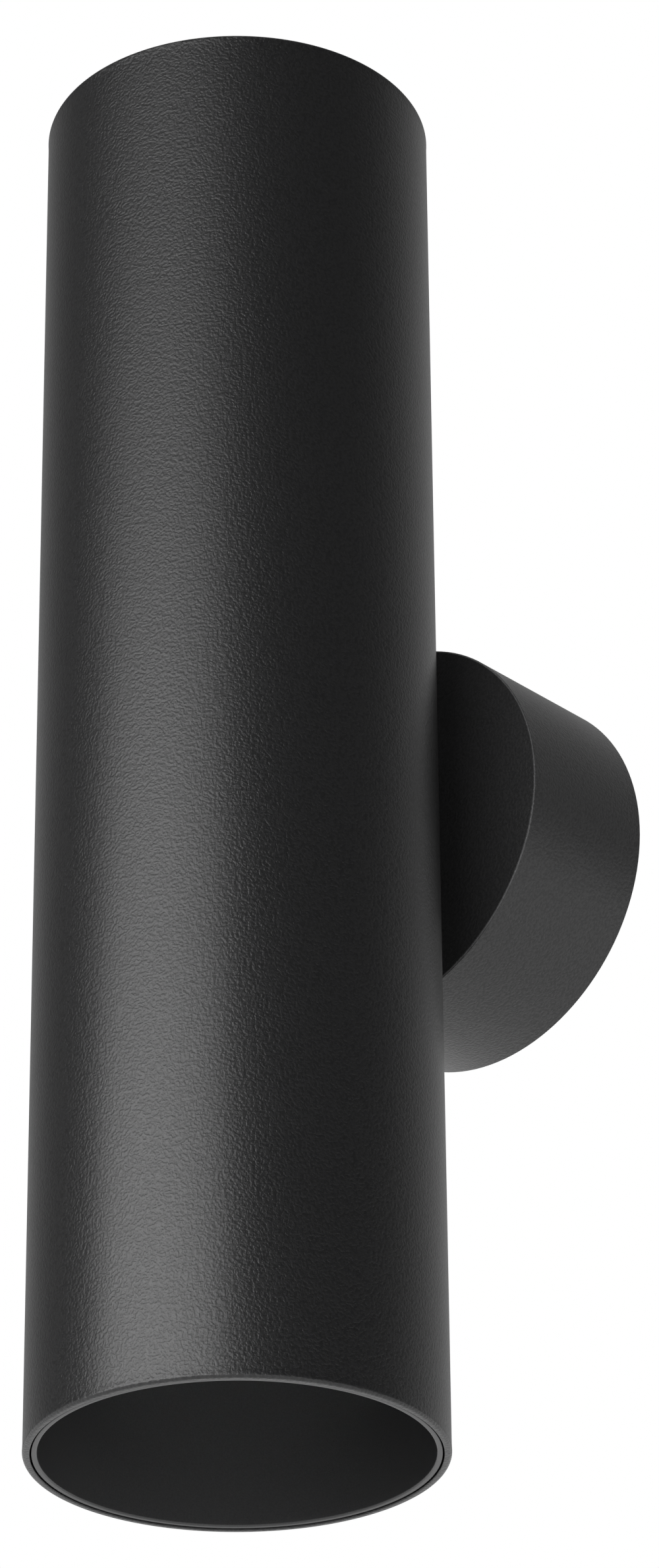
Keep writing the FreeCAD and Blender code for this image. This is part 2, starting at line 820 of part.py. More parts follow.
def make_holder_screws():
    """Two screws up through each shelf into its holder."""
    level = dims.shelf_height - dims.bracket_thickness
    grip = dims.bracket_thickness + dims.holder_screw_grip
    screws = []
    for end, turn in END_TURN.items():
        for side in (-1, 1):
            screw = upward_screw(dims.holder_screw_diameter, grip, dims.holder_head_diameter,
                                 dims.holder_head_height,
                                 axis_y + side * dims.holder_screw_pitch / 2, level)
            screws.append(screw if end == "upper" else turned_copy(screw, turn))
    name_node(group(screws), "holder_screws")


# ---------------------------------------------------------------- lamps


def make_lamp_shell(end):
    """The lamp's hollow housing: a neck, a flare and a straight rim that holds the lens."""
    neck = dims.lamp_neck_diameter / 2
    top = lamp_seat + dims.lamp_height
    seat_radius = lens_radius + dims.lens_clearance
    lens_seat = top - dims.lens_recess - dims.lens_thickness
    board_seat_radius = seat_radius - dims.lens_ledge
    board_seat = lens_seat - dims.board_drop
    body = new_body(f"{end}_lamp_housing")
    section = new_sketch(body, "XZ_Plane", f"{end}_lamp_section")
    draw_outline(section, [
        (0, lamp_seat),
        (neck, lamp_seat),
        (neck, lamp_seat + dims.lamp_neck_height),
        (lamp_radius, top - dims.lamp_rim_height),
        (lamp_radius, top),
        (seat_radius, top),
        (seat_radius, lens_seat),
        (board_seat_radius, lens_seat),
        (board_seat_radius, board_seat),
        (board_seat_radius - dims.board_ledge, board_seat),
        (neck - dims.lamp_wall, lamp_seat + dims.lamp_neck_height),
        (neck - dims.lamp_wall, lamp_seat + dims.lamp_floor),
        (0, lamp_seat + dims.lamp_floor),
    ])
    shell = revolve(body, section)
    ease_edges("Fillet", body, shell, lambda edge: is_ring(edge, lamp_radius, top),
               dims.lamp_rim_round)
    name_node(place(body, y=axis_y, turn=END_TURN[end]), f"{end}_lamp_shell")

    lens = new_body(f"{end}_lens_body")
    disc = new_sketch(lens, "XZ_Plane", f"{end}_lens_section")
    draw_box(disc, 0, lens_radius, lens_seat, lens_seat + dims.lens_thickness)
    face = revolve(lens, disc)
    ease_edges("Fillet", lens, face,
               lambda edge: is_ring(edge, lens_radius, lens_seat + dims.lens_thickness),
               dims.lens_round)
    name_node(place(lens, y=axis_y, turn=END_TURN[end]), f"{end}_lamp_lens")

    plate = cylinder(board_seat_radius - dims.lens_clearance, dims.board_thickness, z=board_seat)
    half = dims.led_size / 2
    chip_level = board_seat + dims.board_thickness
    chips = []
    for number in range(LED_COUNT):
        angle = 2 * math.pi * number / LED_COUNT
        x = dims.led_pitch_diameter / 2 * math.cos(angle)
        y = dims.led_pitch_diameter / 2 * math.sin(angle)
        chips.append(box(x - half, x + half, y - half, y + half,
                         chip_level, chip_level + dims.led_height))
    board = fuse(plate, *chips)
    name_node(place(board, y=axis_y, turn=END_TURN[end]), f"{end}_lamp_board")


def make_lamp_pins(end):
    """The lamp's two pins, each a neck with a wider head that locks under the holder's lip."""
    neck = dims.pin_neck_diameter / 2
    head = dims.pin_head_diameter / 2
    shoulder = lamp_seat - dims.pin_neck_length
    tip = lamp_seat - dims.pin_length
    pins = []
    for side, name in ((-1, "left"), (1, "right")):
        body = new_body(f"{end}_{name}_pin")
        section = new_sketch(body, "XZ_Plane", f"{end}_{name}_pin_section")
        draw_outline(section, [
            (0, tip),
            (head - dims.pin_head_chamfer, tip),
            (head, tip + dims.pin_head_chamfer),
            (head, shoulder),
            (neck, shoulder),
            (neck, lamp_seat),
            (0, lamp_seat),
        ])
        revolve(body, section)
        pins.append(place(body, x=side * pin_radius))
    both = group(pins)
    name_node(place(both, y=axis_y, turn=END_TURN[end]), f"{end}_lamp_pins")


# ---------------------------------------------------------------- sleeves and grub screws


def make_sleeve(end):
    """The thin ring in the tube's mouth that hides the lamp from the side."""
    body = new_body(f"{end}_sleeve_body")
    inside = sleeve_radius - dims.sleeve_wall
    section = new_sketch(body, "XZ_Plane", f"{end}_sleeve_section")
    draw_box(section, inside, sleeve_radius, sleeve_top - dims.sleeve_depth, sleeve_top)
    ring = revolve(body, section)
    ease_edges("Fillet", body, ring, lambda edge: is_ring(edge, inside, sleeve_top),
               dims.sleeve_rim_round)
    name_node(place(body, y=axis_y, turn=END_TURN[end]), f"{end}_glare_sleeve")


def make_grub_screw(end):
    """A headless hexagon-socket screw through the base's wall onto the wall plate's tab."""
    ease = dims.grub_chamfer
    body = new_body(f"{end}_grub_body")
    section = new_sketch(body, "XZ_Plane", f"{end}_grub_section")
    draw_outline(section, [
        (0, grub_tip),
        (grub_radius - ease, grub_tip),
        (grub_radius, grub_tip + ease),
        (grub_radius, grub_top - ease),
        (grub_radius - ease, grub_top),
        (0, grub_top),
    ])
    revolve(body, section)
    socket = new_sketch(body, "XY_Plane", f"{end}_grub_socket", grub_top)
    across = dims.grub_socket_flats / (2 * math.cos(math.pi / 6))
    corners = []
    for number in range(6):
        angle = math.radians(30 + 60 * number)
        corners.append((across * math.cos(angle), across * math.sin(angle)))
    draw_outline(socket, corners)
    pocket(body, socket, dims.grub_socket_depth)
    name_node(place(body, y=grub_y, turn=END_TURN[end]), f"{end}_grub_screw")


# ---------------------------------------------------------------- wall plate


def make_wall_plate():
    """The pressed steel plate on the wall: a disc with two flats, a tab bent forward from each,
    a slot either side for the wall's screws and a hole for the supply cable."""
    body = new_body("plate_body")
    disc = new_sketch(body, "XZ_Plane", "plate_disc")
    draw_circle(disc, 0, 0, plate_radius)
    pad(body, disc, dims.plate_thickness)
    flats = new_sketch(body, "XZ_Plane", "plate_flats")
    beyond = plate_radius + OVERCUT
    draw_box(flats, -plate_radius, plate_radius, tab_outside, beyond)
    draw_box(flats, -plate_radius, plate_radius, -beyond, -tab_outside)
    pocket(body, flats, dims.plate_thickness, reverse=True)
    tabs = new_sketch(body, "XZ_Plane", "plate_tabs")
    draw_box(tabs, -dims.tab_width / 2, dims.tab_width / 2, tab_inside, tab_outside)
    draw_box(tabs, -dims.tab_width / 2, dims.tab_width / 2, -tab_outside, -tab_inside)
    folded = pad(body, tabs, tab_length)

    def is_inner_fold(edge):
        """Whether an edge is where a tab meets the disc, on the side towards the centre."""
        if not isinstance(edge.Curve, Part.Line):
            return False
        middle = edge.CenterOfMass
        at_face = abs(middle.y + dims.plate_thickness.value) < NEAR
        at_tab = abs(abs(middle.z) - tab_inside.value) < NEAR
        return at_face and at_tab and abs(abs(edge.Curve.Direction.x) - 1) < NEAR

    ease_edges("Fillet", body, folded, is_inner_fold, dims.plate_bend)

    straight = (dims.wall_slot_length - dims.wall_slot_width) / 2
    half = dims.wall_slot_width / 2
    middles = new_sketch(body, "XZ_Plane", "plate_slot_middles")
    ends = new_sketch(body, "XZ_Plane", "plate_slot_ends")
    for side in (-1, 1):
        centre = side * wall_slot_x
        draw_box(middles, centre - straight, centre + straight, -half, half)
        draw_circle(ends, centre - straight, 0, half)
        draw_circle(ends, centre + straight, 0, half)
    pocket(body, middles, dims.plate_thickness, reverse=True)
    pocket(body, ends, dims.plate_thickness, reverse=True)
    cable = new_sketch(body, "XZ_Plane", "plate_cable_hole")
    draw_circle(cable, 0, -dims.cable_drop,
                dims.cable_bore / 2 + dims.grommet_wall + dims.grommet_clearance)
    pocket(body, cable, dims.plate_thickness, reverse=True)
    name_node(body, "wall_plate")


def make_grommet():
    """The rubber bush in the plate's cable hole, with its flange inside the base."""
    bore = dims.cable_bore / 2
    neck = bore + dims.grommet_wall
    flange = neck + dims.grommet_flange
    flange_back = -dims.plate_thickness
    flange_front = flange_back - dims.grommet_flange_height
    body = new_body("grommet_body")
    section = new_sketch(body, "XY_Plane", "grommet_section")
    draw_outline(section, [
        (bore, flange_front),
        (flange, flange_front),
        (flange, flange_back),
        (neck, flange_back),
        (neck, 0),
        (bore, 0),
    ])
    turned = revolve(body, section)
    ease_edges("Fillet", body, turned,
               lambda edge: is_ring(edge, flange, flange_front, "y"),
               dims.grommet_round)
    name_node(place(body, z=-dims.cable_drop), "cable_grommet")


# ---------------------------------------------------------------- terminal block and earth


def clamp_screw_places():
    """The two clamp screws of each pole, as places across and up."""
    return [(pole * dims.pole_pitch, block_middle + side * clamp_screw_spread)
            for pole in POLES for side in (-1, 1)]


def make_terminal_block():
    """The three-pole block: a bore with narrower mouths for each brass barrel, wells for the
    clamp screws and two recessed holes for the screws that hold it down."""
    block = box(-block_width / 2, block_width / 2, pad_y, block_back_y, block_bottom, block_top)
    tools = []
    for pole in POLES:
        x = pole * dims.pole_pitch
        tools.append(cylinder(barrel_radius + dims.barrel_clearance, barrel_length, x, barrel_y,
                              barrel_bottom))
        tools.append(cylinder(dims.lead_stagger + dims.lead_diameter / 2 + dims.lead_clearance,
                              block_top - block_bottom + 2 * OVERCUT, x, barrel_y,
                              block_bottom - OVERCUT))
    for x, z in clamp_screw_places():
        tools.append(cylinder(dims.clamp_well_diameter / 2, dims.block_height, x, barrel_y, z,
                              "+y"))
    for side in (-1, 1):
        x = side * dims.pole_pitch / 2
        hole = dims.block_screw_diameter / 2 + dims.thread_clearance
        tools.append(cylinder(hole, dims.block_height, x, pad_y, block_middle, "+y"))
        tools.append(cylinder(dims.block_head_diameter / 2 + dims.block_head_clearance,
                              dims.block_height, x, block_back_y - dims.block_head_recess,
                              block_middle, "+y"))
    name_node(cut(block, *tools), "terminal_block")


def make_terminal_barrels():
    """The brass barrels that join the supply to the leads, one for each pole."""
    barrels = []
    for pole in POLES:
        x = pole * dims.pole_pitch
        outside = cylinder(barrel_radius, barrel_length, x, barrel_y, barrel_bottom)
        tools = [cylinder(dims.barrel_bore / 2, barrel_length, x, barrel_y, barrel_bottom)]
        for screw_x, screw_z in clamp_screw_places():
            if screw_x.value == x.value:
                tools.append(cylinder(dims.clamp_screw_diameter / 2 + dims.thread_clearance,
                                      dims.barrel_diameter, screw_x, barrel_y, screw_z, "+y"))
        barrels.append(cut(outside, *tools))
    name_node(group(barrels), "terminal_barrels")


def make_terminal_screws():
    """The six clamp screws in the barrels, each with a driver slot."""
    screws = []
    start = barrel_y + dims.clamp_screw_tip
    end = block_back_y - dims.clamp_screw_sink
    radius = dims.clamp_screw_diameter / 2
    thin = dims.driver_slot / 2
    for x, z in clamp_screw_places():
        shank = cylinder(radius, end - start, x, start, z, "+y")
        slot = box(x - radius - OVERCUT, x + radius + OVERCUT,
                   end - dims.driver_slot_depth, end + OVERCUT, z - thin, z + thin)
        screws.append(cut(shank, slot))
    name_node(group(screws), "terminal_screws")


def make_block_screws():
    """The two long screws that hold the terminal block on the base's pad."""
    seat = block_back_y - dims.block_head_recess
    grip = seat - pad_y + dims.block_screw_grip
    screws = [inward_screw(dims.block_screw_diameter, grip, dims.block_head_diameter,
                           dims.block_head_height, side * dims.pole_pitch / 2, seat,
                           block_middle)
              for side in (-1, 1)]
    name_node(group(screws), "block_screws")


def make_earth_point():
    """The ring tag on the base's boss, with a crimped barrel for the earth lead, and its screw."""
    tag_y = boss_y + dims.tag_thickness
    ring = cylinder(dims.tag_diameter / 2, dims.tag_thickness, earth_x, boss_y, earth_z, "+y")
    half = dims.tag_neck_width / 2
    neck_top = earth_z + dims.tag_reach + dims.tag_crimp_length / 2
    neck = box(earth_x - half, earth_x + half, boss_y, tag_y, earth_z, neck_top)
    crimp = cylinder(dims.tag_crimp_diameter / 2, dims.tag_crimp_length, earth_x, tag_crimp_y,
                     earth_z + dims.tag_reach)
    hole = cylinder(dims.earth_screw_diameter / 2 + dims.screw_hole_clearance,
                    dims.tag_thickness, earth_x, boss_y, earth_z, "+y")
    name_node(cut(fuse(ring, neck, crimp), hole), "earth_tag")
    screw = inward_screw(dims.earth_screw_diameter, dims.earth_screw_grip,
                         dims.earth_head_diameter, dims.earth_head_height,
                         earth_x, tag_y, earth_z)
    name_node(screw, "earth_screw")


# ---------------------------------------------------------------- leads


def fitted_setbacks(points, wishes):
    """The setbacks of a route's corners, shortened alike where two would meet on one run."""
    wishes = [0, *wishes, 0]
    setbacks = list(wishes)
    for number, (start, end) in enumerate(zip(points, points[1:])):
        wanted = wishes[number] + wishes[number + 1]
        share = min(1, ROUTE_SHARE * (end - start).Length / wanted)
        for corner in (number, number + 1):
            setbacks[corner] = min(setbacks[corner], wishes[corner] * share)
    return setbacks[1:-1]


def rounded_route(points, setbacks):
    """A wire of straight runs joined by tangent arcs. Each arc leaves its run at that corner's
    setback, so its radius is the setback over the tangent of half the turn."""
    edges = []
    radii = []
    here = points[0]
    for before, corner, after, setback in zip(points, points[1:], points[2:], setbacks):
        arrive = (corner - before).normalize()
        leave = (after - corner).normalize()
        turn = arrive.getAngle(leave)
        radius = setback / math.tan(turn / 2)
        start = corner - arrive * setback
        end = corner + leave * setback
        inward = (leave - arrive).normalize()
        middle = corner + inward * (radius / math.cos(turn / 2) - radius)
        edges.append(Part.LineSegment(here, start).toShape())
        edges.append(Part.Arc(start, middle, end).toShape())
        radii.append(radius)
        here = end
    edges.append(Part.LineSegment(here, points[-1]).toShape())
    return Part.Wire(edges), radii


def make_lead(label, points, setbacks):
    """One insulated lead along its route, whole from terminal to crimp."""
    points = [Vector(*(as_size(amount).value for amount in point)) for point in points]
    wishes = [as_size(amount).value for amount in setbacks]
    wire, radii = rounded_route(points, fitted_setbacks(points, wishes))
    radius = dims.lead_diameter.value / 2
    section = Part.Wire([Part.Circle(points[0], points[1] - points[0], radius).toShape()])
    solid = wire.makePipeShell([section], True, False)
    expected = math.pi * radius ** 2 * wire.Length
    if abs(solid.Volume / expected - 1) > 0.01:
        raise RuntimeError(f"{label} holds {solid.Volume:.1f} of {expected:.1f} cubic mm")
    print(label, "length", round(wire.Length, 1), "radii", [round(value, 1) for value in radii])
    lead = doc.addObject("Part::Feature", label)
    lead.Shape = solid
    name_node(lead, label)


def make_lamp_leads():
    """Live and neutral leads from the block, through the nipple, to each holder's crimps."""
    for end, up in (("upper", 1), ("lower", -1)):
        plane_y = barrel_y - up * dims.lead_stagger
        rise = up * dims.lead_rise
        entry = block_bottom - dims.lead_entry_run
        mouth_y = nipple_front_y - dims.lead_splay
        for name, side, pole in (("live", -1, -1), ("neutral", 1, 0)):
            pole_x = pole * dims.pole_pitch
            spread = side * dims.lead_spread
            points = [
                (pole_x, plane_y, barrel_bottom),
                (pole_x, plane_y, entry),
                (spread, plane_y, rise),
                (spread, mouth_y, rise),
                (side * crimp_x, axis_y, rise),
                (side * crimp_x, axis_y, up * crimp_end),
            ]
            setbacks = [dims.lead_entry_bend, plane_y - nipple_back_y, dims.lead_splay,
                        dims.lead_bend]
            make_lead(f"{end}_{name}_lead", points, setbacks)


def make_earth_lead():
    """The earth lead from the block's outer pole to the tag on the base."""
    pole_x = dims.pole_pitch
    make_lead("earth_lead", [
        (pole_x, barrel_y, barrel_bottom),
        (pole_x, barrel_y, barrel_bottom - dims.earth_lead_run),
        (earth_x, tag_crimp_y, tag_crimp_top + dims.earth_lead_run),
        (earth_x, tag_crimp_y, tag_crimp_top),
    ], [dims.earth_lead_bend, dims.earth_lead_bend])


# ---------------------------------------------------------------- build, check and write


def build_all():
    """Makes every sub-part."""
    make_tube()
    make_base()
    make_nipple()
    make_nuts_and_washers()
    make_saddles()
    make_bracket()
    for end in END_TURN:
        make_holder(end)
        make_contacts(end)
        make_lamp_shell(end)
        make_lamp_pins(end)
        make_sleeve(end)
        make_grub_screw(end)
    make_holder_screws()
    make_wall_plate()
    make_grommet()
    make_terminal_block()
    make_terminal_barrels()
    make_terminal_screws()
    make_block_screws()
    make_earth_point()
    make_lamp_leads()
    make_earth_lead()
    doc.recompute()


def check_all():
    """Stops if any object failed, any cut took nothing away or any sub-part isn't sound."""
    for item in doc.Objects:
        if "Invalid" in item.State or "Error" in item.State:
            raise RuntimeError(f"{item.Label} did not compute: {item.State}")
        if item.TypeId == "PartDesign::Pocket":
            if item.BaseFeature.Shape.Volume - item.Shape.Volume < 0.01:
                raise RuntimeError(f"{item.Label} cuts nothing")
        if item.TypeId == "Part::Cut":
            if item.Base.Shape.Volume - item.Shape.Volume < 0.001:
                raise RuntimeError(f"{item.Label} cuts nothing")
    for label, item in nodes.items():
        if item.Shape.isNull() or not item.Shape.isValid() or not item.Shape.Solids:
            raise RuntimeError(f"{label} has no sound shape")


def write_all():
    """Writes each sub-part to a file of its own name."""
    os.makedirs("parts", exist_ok=True)
    for label, item in nodes.items():
        item.Shape.exportStep(f"parts/{label}.step")
    print(len(nodes), "sub-parts")


build_all()
check_all()
write_all()
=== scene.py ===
"""Tube wall light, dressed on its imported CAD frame.

The CAD parts keep their shapes and get their finishes here. The tube, the two anti-glare
sleeves, the two lenses and the threaded nipple are drawn again as finer surfaces. Everything
is in metres, in the frame of the CAD: the wall is the plane y = 0 and the light stands out
towards -Y, with +Z up.
"""

import math

import bmesh
import bpy
import numpy as np
from bpy.props import FloatProperty, FloatVectorProperty, PointerProperty
from bpy.types import Operator, Panel, PropertyGroup, Scene
from mathutils import Matrix, Vector


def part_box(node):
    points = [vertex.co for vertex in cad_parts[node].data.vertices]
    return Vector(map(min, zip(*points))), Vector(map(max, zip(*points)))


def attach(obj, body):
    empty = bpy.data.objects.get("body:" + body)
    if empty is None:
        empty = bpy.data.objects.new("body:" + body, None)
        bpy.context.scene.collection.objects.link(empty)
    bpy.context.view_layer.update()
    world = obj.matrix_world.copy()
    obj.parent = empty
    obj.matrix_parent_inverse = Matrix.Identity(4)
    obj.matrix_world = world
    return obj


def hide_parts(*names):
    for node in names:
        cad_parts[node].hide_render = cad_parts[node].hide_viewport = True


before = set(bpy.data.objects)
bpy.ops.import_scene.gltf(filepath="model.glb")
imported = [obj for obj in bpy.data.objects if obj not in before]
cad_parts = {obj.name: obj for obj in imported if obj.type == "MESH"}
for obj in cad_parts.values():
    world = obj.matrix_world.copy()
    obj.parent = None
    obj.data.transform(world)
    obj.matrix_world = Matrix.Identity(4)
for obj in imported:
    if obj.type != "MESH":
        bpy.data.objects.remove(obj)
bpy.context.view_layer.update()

bl_info = {
    "name": "Tube wall light",
    "version": (1, 0, 0),
    "blender": (4, 5, 0),
    "location": "View3D > Sidebar > Tube light",
    "description": "Dresses the CAD parts of a tube wall light and sets its studio",
    "category": "Object",
}

MM = 0.001

# How finely the new surfaces are divided.
TUBE_STEPS = 240
LENS_STEPS = 144
NIPPLE_STEPS = 96
CORNER_POINTS = 8
SCREEN_COLUMNS = 41
SCREEN_ROWS = 25

# ---------------------------------------------------------------- settings


def length(name, description, default):
    """A length in metres that the sidebar shows with its unit."""
    return FloatProperty(name=name, description=description, default=default, min=0.0,
                         unit="LENGTH", subtype="DISTANCE", precision=5)


def share(name, description, default):
    """A number from 0 to 1."""
    return FloatProperty(name=name, description=description, default=default, min=0.0,
                         max=1.0, subtype="FACTOR")


def tint(name, description, default):
    """A colour, as the light that it gives back."""
    return FloatVectorProperty(name=name, description=description, default=default, size=3,
                               min=0.0, max=1.0, subtype="COLOR")


def turn(name, description, degrees):
    """An angle that the sidebar shows in degrees."""
    return FloatProperty(name=name, description=description, default=math.radians(degrees),
                         subtype="ANGLE", unit="ROTATION")


class TubeLightShape(PropertyGroup):
    """Small forms that the finer surfaces add to the CAD's."""

    wall: length("Tube wall", "Thickness of the tube", 1.1 * MM)
    outer_round: length("Outer rim round", "Rounding of the tube's rim outside", 0.5 * MM)
    inner_round: length("Inner rim round", "Rounding of the tube's rim inside", 0.2 * MM)
    bead_height: length("Rim bead", "How far the coat swells at the tube's rims", 0.05 * MM)
    bead_width: length("Rim bead width", "How far the swelling reaches along the tube", 0.9 * MM)
    nipple_hole: length("Nipple hole", "Radius of the hole in the tube's back", 5.25 * MM)
    skin: length("Box margin", "How far the tube stays inside the CAD's facets", 0.01 * MM)
    sleeve_wall: length("Sleeve wall", "Thickness of an anti-glare sleeve", 0.85 * MM)
    sleeve_round: length("Sleeve round", "Rounding of a sleeve's inner mouth edge", 0.3 * MM)
    lens_round: length("Lens round", "Rounding of a lens's edge", 0.5 * MM)
    rib_pitch: length("Lens rib pitch", "Distance between the lens's fine rings", 1.3 * MM)
    rib_depth: length("Lens rib depth", "Depth of the lens's fine rings", 0.12 * MM)
    thread_pitch: length("Thread pitch", "Pitch of the nipple's thread", 1.0 * MM)
    thread_depth: length("Thread depth", "Depth of the nipple's thread", 0.4 * MM)
    nipple_wall: length("Nipple wall", "Thickness of the nipple over its thread", 1.2 * MM)


class TubeLightColours(PropertyGroup):
    """Colours of the finishes, many with a darker and a lighter tone."""

    coat_dark: tint("Coat, dark", "Hollows of the black powder coat", (0.0064, 0.0064, 0.0067))
    coat_light: tint("Coat, light", "Grain tops of the black powder coat", (0.0096, 0.0096, 0.01))
    # The base's two tones are the tube's black coat made several times lighter: painted fill light
    # for the base's shaded front, not a different coat.
    base_dark_painted_fill: tint("Base coat, dark", "Hollows of the coat on the base", (0.024, 0.024, 0.0244))
    base_light_painted_fill: tint("Base coat, light", "Grain tops of the coat on the base", (0.031, 0.031, 0.0314))
    # The edge colour is partly coat run thin on sharp edges and partly a painted highlight on the
    # tube's rims and the base's chamfer.
    edge: tint("Thin edge", "Where the coat runs thin on a sharp edge", (0.09, 0.09, 0.092))
    sleeve_dark: tint("Sleeve, dark", "Hollows of the sleeve's black", (0.03, 0.03, 0.0305))
    sleeve_light: tint("Sleeve, light", "Tops of the sleeve's black", (0.072, 0.072, 0.073))
    zinc_dark: tint("Zinc, dark", "Dark flakes of the zinc coat", (0.44, 0.46, 0.49))
    zinc_light: tint("Zinc, light", "Light flakes of the zinc coat", (0.66, 0.68, 0.71))
    brass_bright: tint("Brass, bright", "Clean brass", (0.76, 0.56, 0.27))
    brass_dull: tint("Brass, dull", "Tarnished brass", (0.43, 0.29, 0.13))
    ceramic: tint("Ceramic", "Glazed lampholder body", (0.80, 0.78, 0.73))
    ceramic_speck: tint("Ceramic speck", "Specks in the glaze", (0.52, 0.47, 0.40))
    white: tint("White plastic", "Lamp body", (0.80, 0.80, 0.79))
    lens: tint("Lens", "Frosted lens", (0.88, 0.90, 0.91))
    board: tint("Board", "Solder mask of the lamp's board", (0.78, 0.79, 0.78))
    phosphor: tint("Phosphor", "Face of each light-emitting chip", (0.83, 0.62, 0.10))
    nylon: tint("Nylon", "Terminal block", (0.72, 0.71, 0.66))
    rubber: tint("Rubber", "Cable grommet", (0.018, 0.018, 0.018))
    brown: tint("Brown lead", "Live insulation", (0.14, 0.055, 0.025))
    blue: tint("Blue lead", "Neutral insulation", (0.02, 0.13, 0.46))
    green: tint("Green stripe", "Earth insulation", (0.03, 0.26, 0.06))
    yellow: tint("Yellow stripe", "Earth insulation", (0.80, 0.62, 0.04))
    oxide: tint("Black oxide", "Grub screws", (0.035, 0.035, 0.038))


class TubeLightStudio(PropertyGroup):
    """Camera, lights and surroundings."""

    camera_place: FloatVectorProperty(
        name="Camera place", description="Where the camera stands",
        default=(0.48275, -0.57368, -0.38391), size=3, unit="LENGTH", subtype="TRANSLATION")
    camera_turn: turn("Camera turn", "Turn of the view to the left of +Y", 41.9991)
    camera_rise: turn("Camera rise", "Upward tilt of the view", 28.2591)
    camera_roll: turn("Camera roll", "Turn of the view about its own line", -0.511)
    focal_length: FloatProperty(
        name="Focal length", description="Of the lens, for 36 mm on the picture's long side",
        default=123.7, unit="CAMERA")
    floor_level: FloatProperty(
        name="Floor level", description="Height of the floor, far below the light",
        default=-2.4, unit="LENGTH", subtype="DISTANCE")
    floor_reach: length("Floor reach", "Half the floor's side", 40.0)
    floor_tone: tint("Floor", "Colour of the floor", (0.90, 0.90, 0.90))
    floor_lift: share("Floor lift", "How far the seen floor is lifted to white", 0.85)
    fill: share("Fill", "Strength of the world on dull surfaces", 0.42)
    key_power: FloatProperty(
        name="Key light", description="Power of the wide soft light in front",
        default=27.5, min=0.0, unit="POWER")
    key_turn: turn("Key turn", "Direction of the key light, to the right of -Y", 0.5)
    key_rise: turn("Key rise", "Height angle of the key light", 11.5)
    key_width: length("Key width", "Width of the key light", 2.0)
    key_height: length("Key height", "Height of the key light", 0.92)
    side_power: FloatProperty(
        name="Side light", description="Power of the soft light on the right",
        default=4.0, min=0.0, unit="POWER")
    side_turn: turn("Side turn", "Direction of the side light, to the right of -Y", 62.0)
    side_rise: turn("Side rise", "Height angle of the side light", -22.0)
    side_size: length("Side size", "Width and height of the side light", 0.8)
    lamp_distance: length("Lamp distance", "From the tube's middle to each studio lamp", 1.5)
    screen_radius: length("Screen radius", "From the origin to the grey screen", 2.2)
    thin_turn: turn("Thin side", "Bearing from -Y at which the cloth is thinnest", -150)
    thin_clear: share("Thin side clear", "How clear the cloth is where it is thinnest", 0.42)
    screen_foot: turn("Screen foot", "Height angle of the screen's lower edge", -15)
    screen_head: turn("Screen head", "Height angle of the screen's upper edge", 80)
    hem_bottom: FloatProperty(
        name="Hem bottom", description="Height at which the screen's cloth begins to show",
        default=-0.55, unit="LENGTH", subtype="DISTANCE")
    hem_top: FloatProperty(
        name="Hem top", description="Height at which the screen's cloth is whole",
        default=0.45, unit="LENGTH", subtype="DISTANCE")
    cloth_dark: tint("Cloth, dark", "Darker threads of the screen", (0.13, 0.13, 0.13))
    cloth_light: tint("Cloth, light", "Lighter threads of the screen", (0.17, 0.17, 0.17))


# ---------------------------------------------------------------- shader nodes


class Signal:
    """A shader socket in arithmetic: each operator adds one Math node to its tree."""

    def __init__(self, nodes, socket):
        self.nodes = nodes
        self.socket = socket

    def also(self, name):
        """Another output of the same node."""
        return Signal(self.nodes, self.socket.node.outputs[name])

    def __add__(self, other):
        return self.nodes.math("ADD", self, other)

    def __radd__(self, other):
        return self.nodes.math("ADD", other, self)

    def __sub__(self, other):
        return self.nodes.math("SUBTRACT", self, other)

    def __rsub__(self, other):
        return self.nodes.math("SUBTRACT", other, self)

    def __mul__(self, other):
        return self.nodes.math("MULTIPLY", self, other)

    def __rmul__(self, other):
        return self.nodes.math("MULTIPLY", other, self)

    def __truediv__(self, other):
        return self.nodes.math("DIVIDE", self, other)

    def __rtruediv__(self, other):
        return self.nodes.math("DIVIDE", other, self)

    def __pow__(self, other):
        return self.nodes.math("POWER", self, other)

    def __rpow__(self, other):
        return self.nodes.math("POWER", other, self)

    def __abs__(self):
        return self.nodes.math("ABSOLUTE", self)


class Nodes:
    """A node tree that is filled through one method."""

    def __init__(self, tree):
        self.tree = tree
        self.tree.nodes.clear()

    def node(self, kind, settings=(), sockets=(), output=0):
        """Adds a node. Its settings come first, then the value or link of each socket."""
        made = self.tree.nodes.new(kind)
        for name, value in dict(settings).items():
            setattr(made, name, value)
        for key, value in dict(sockets).items():
            if isinstance(value, Signal):
                self.tree.links.new(value.socket, made.inputs[key])
            else:
                made.inputs[key].default_value = value
        return Signal(self, made.outputs[output]) if len(made.outputs) else None

    def math(self, operation, *values):
        """One Math node on these values."""
        return self.node("ShaderNodeMath", {"operation": operation}, enumerate(values))

    def seen(self):
        """1 for what the camera sees straight, mirrored or through glass, and otherwise 0."""
        path = self.node("ShaderNodeLightPath", output="Is Camera Ray")
        shown = path + path.also("Is Glossy Ray") + path.also("Is Transmission Ray")
        return self.math("MINIMUM", shown, 1.0)


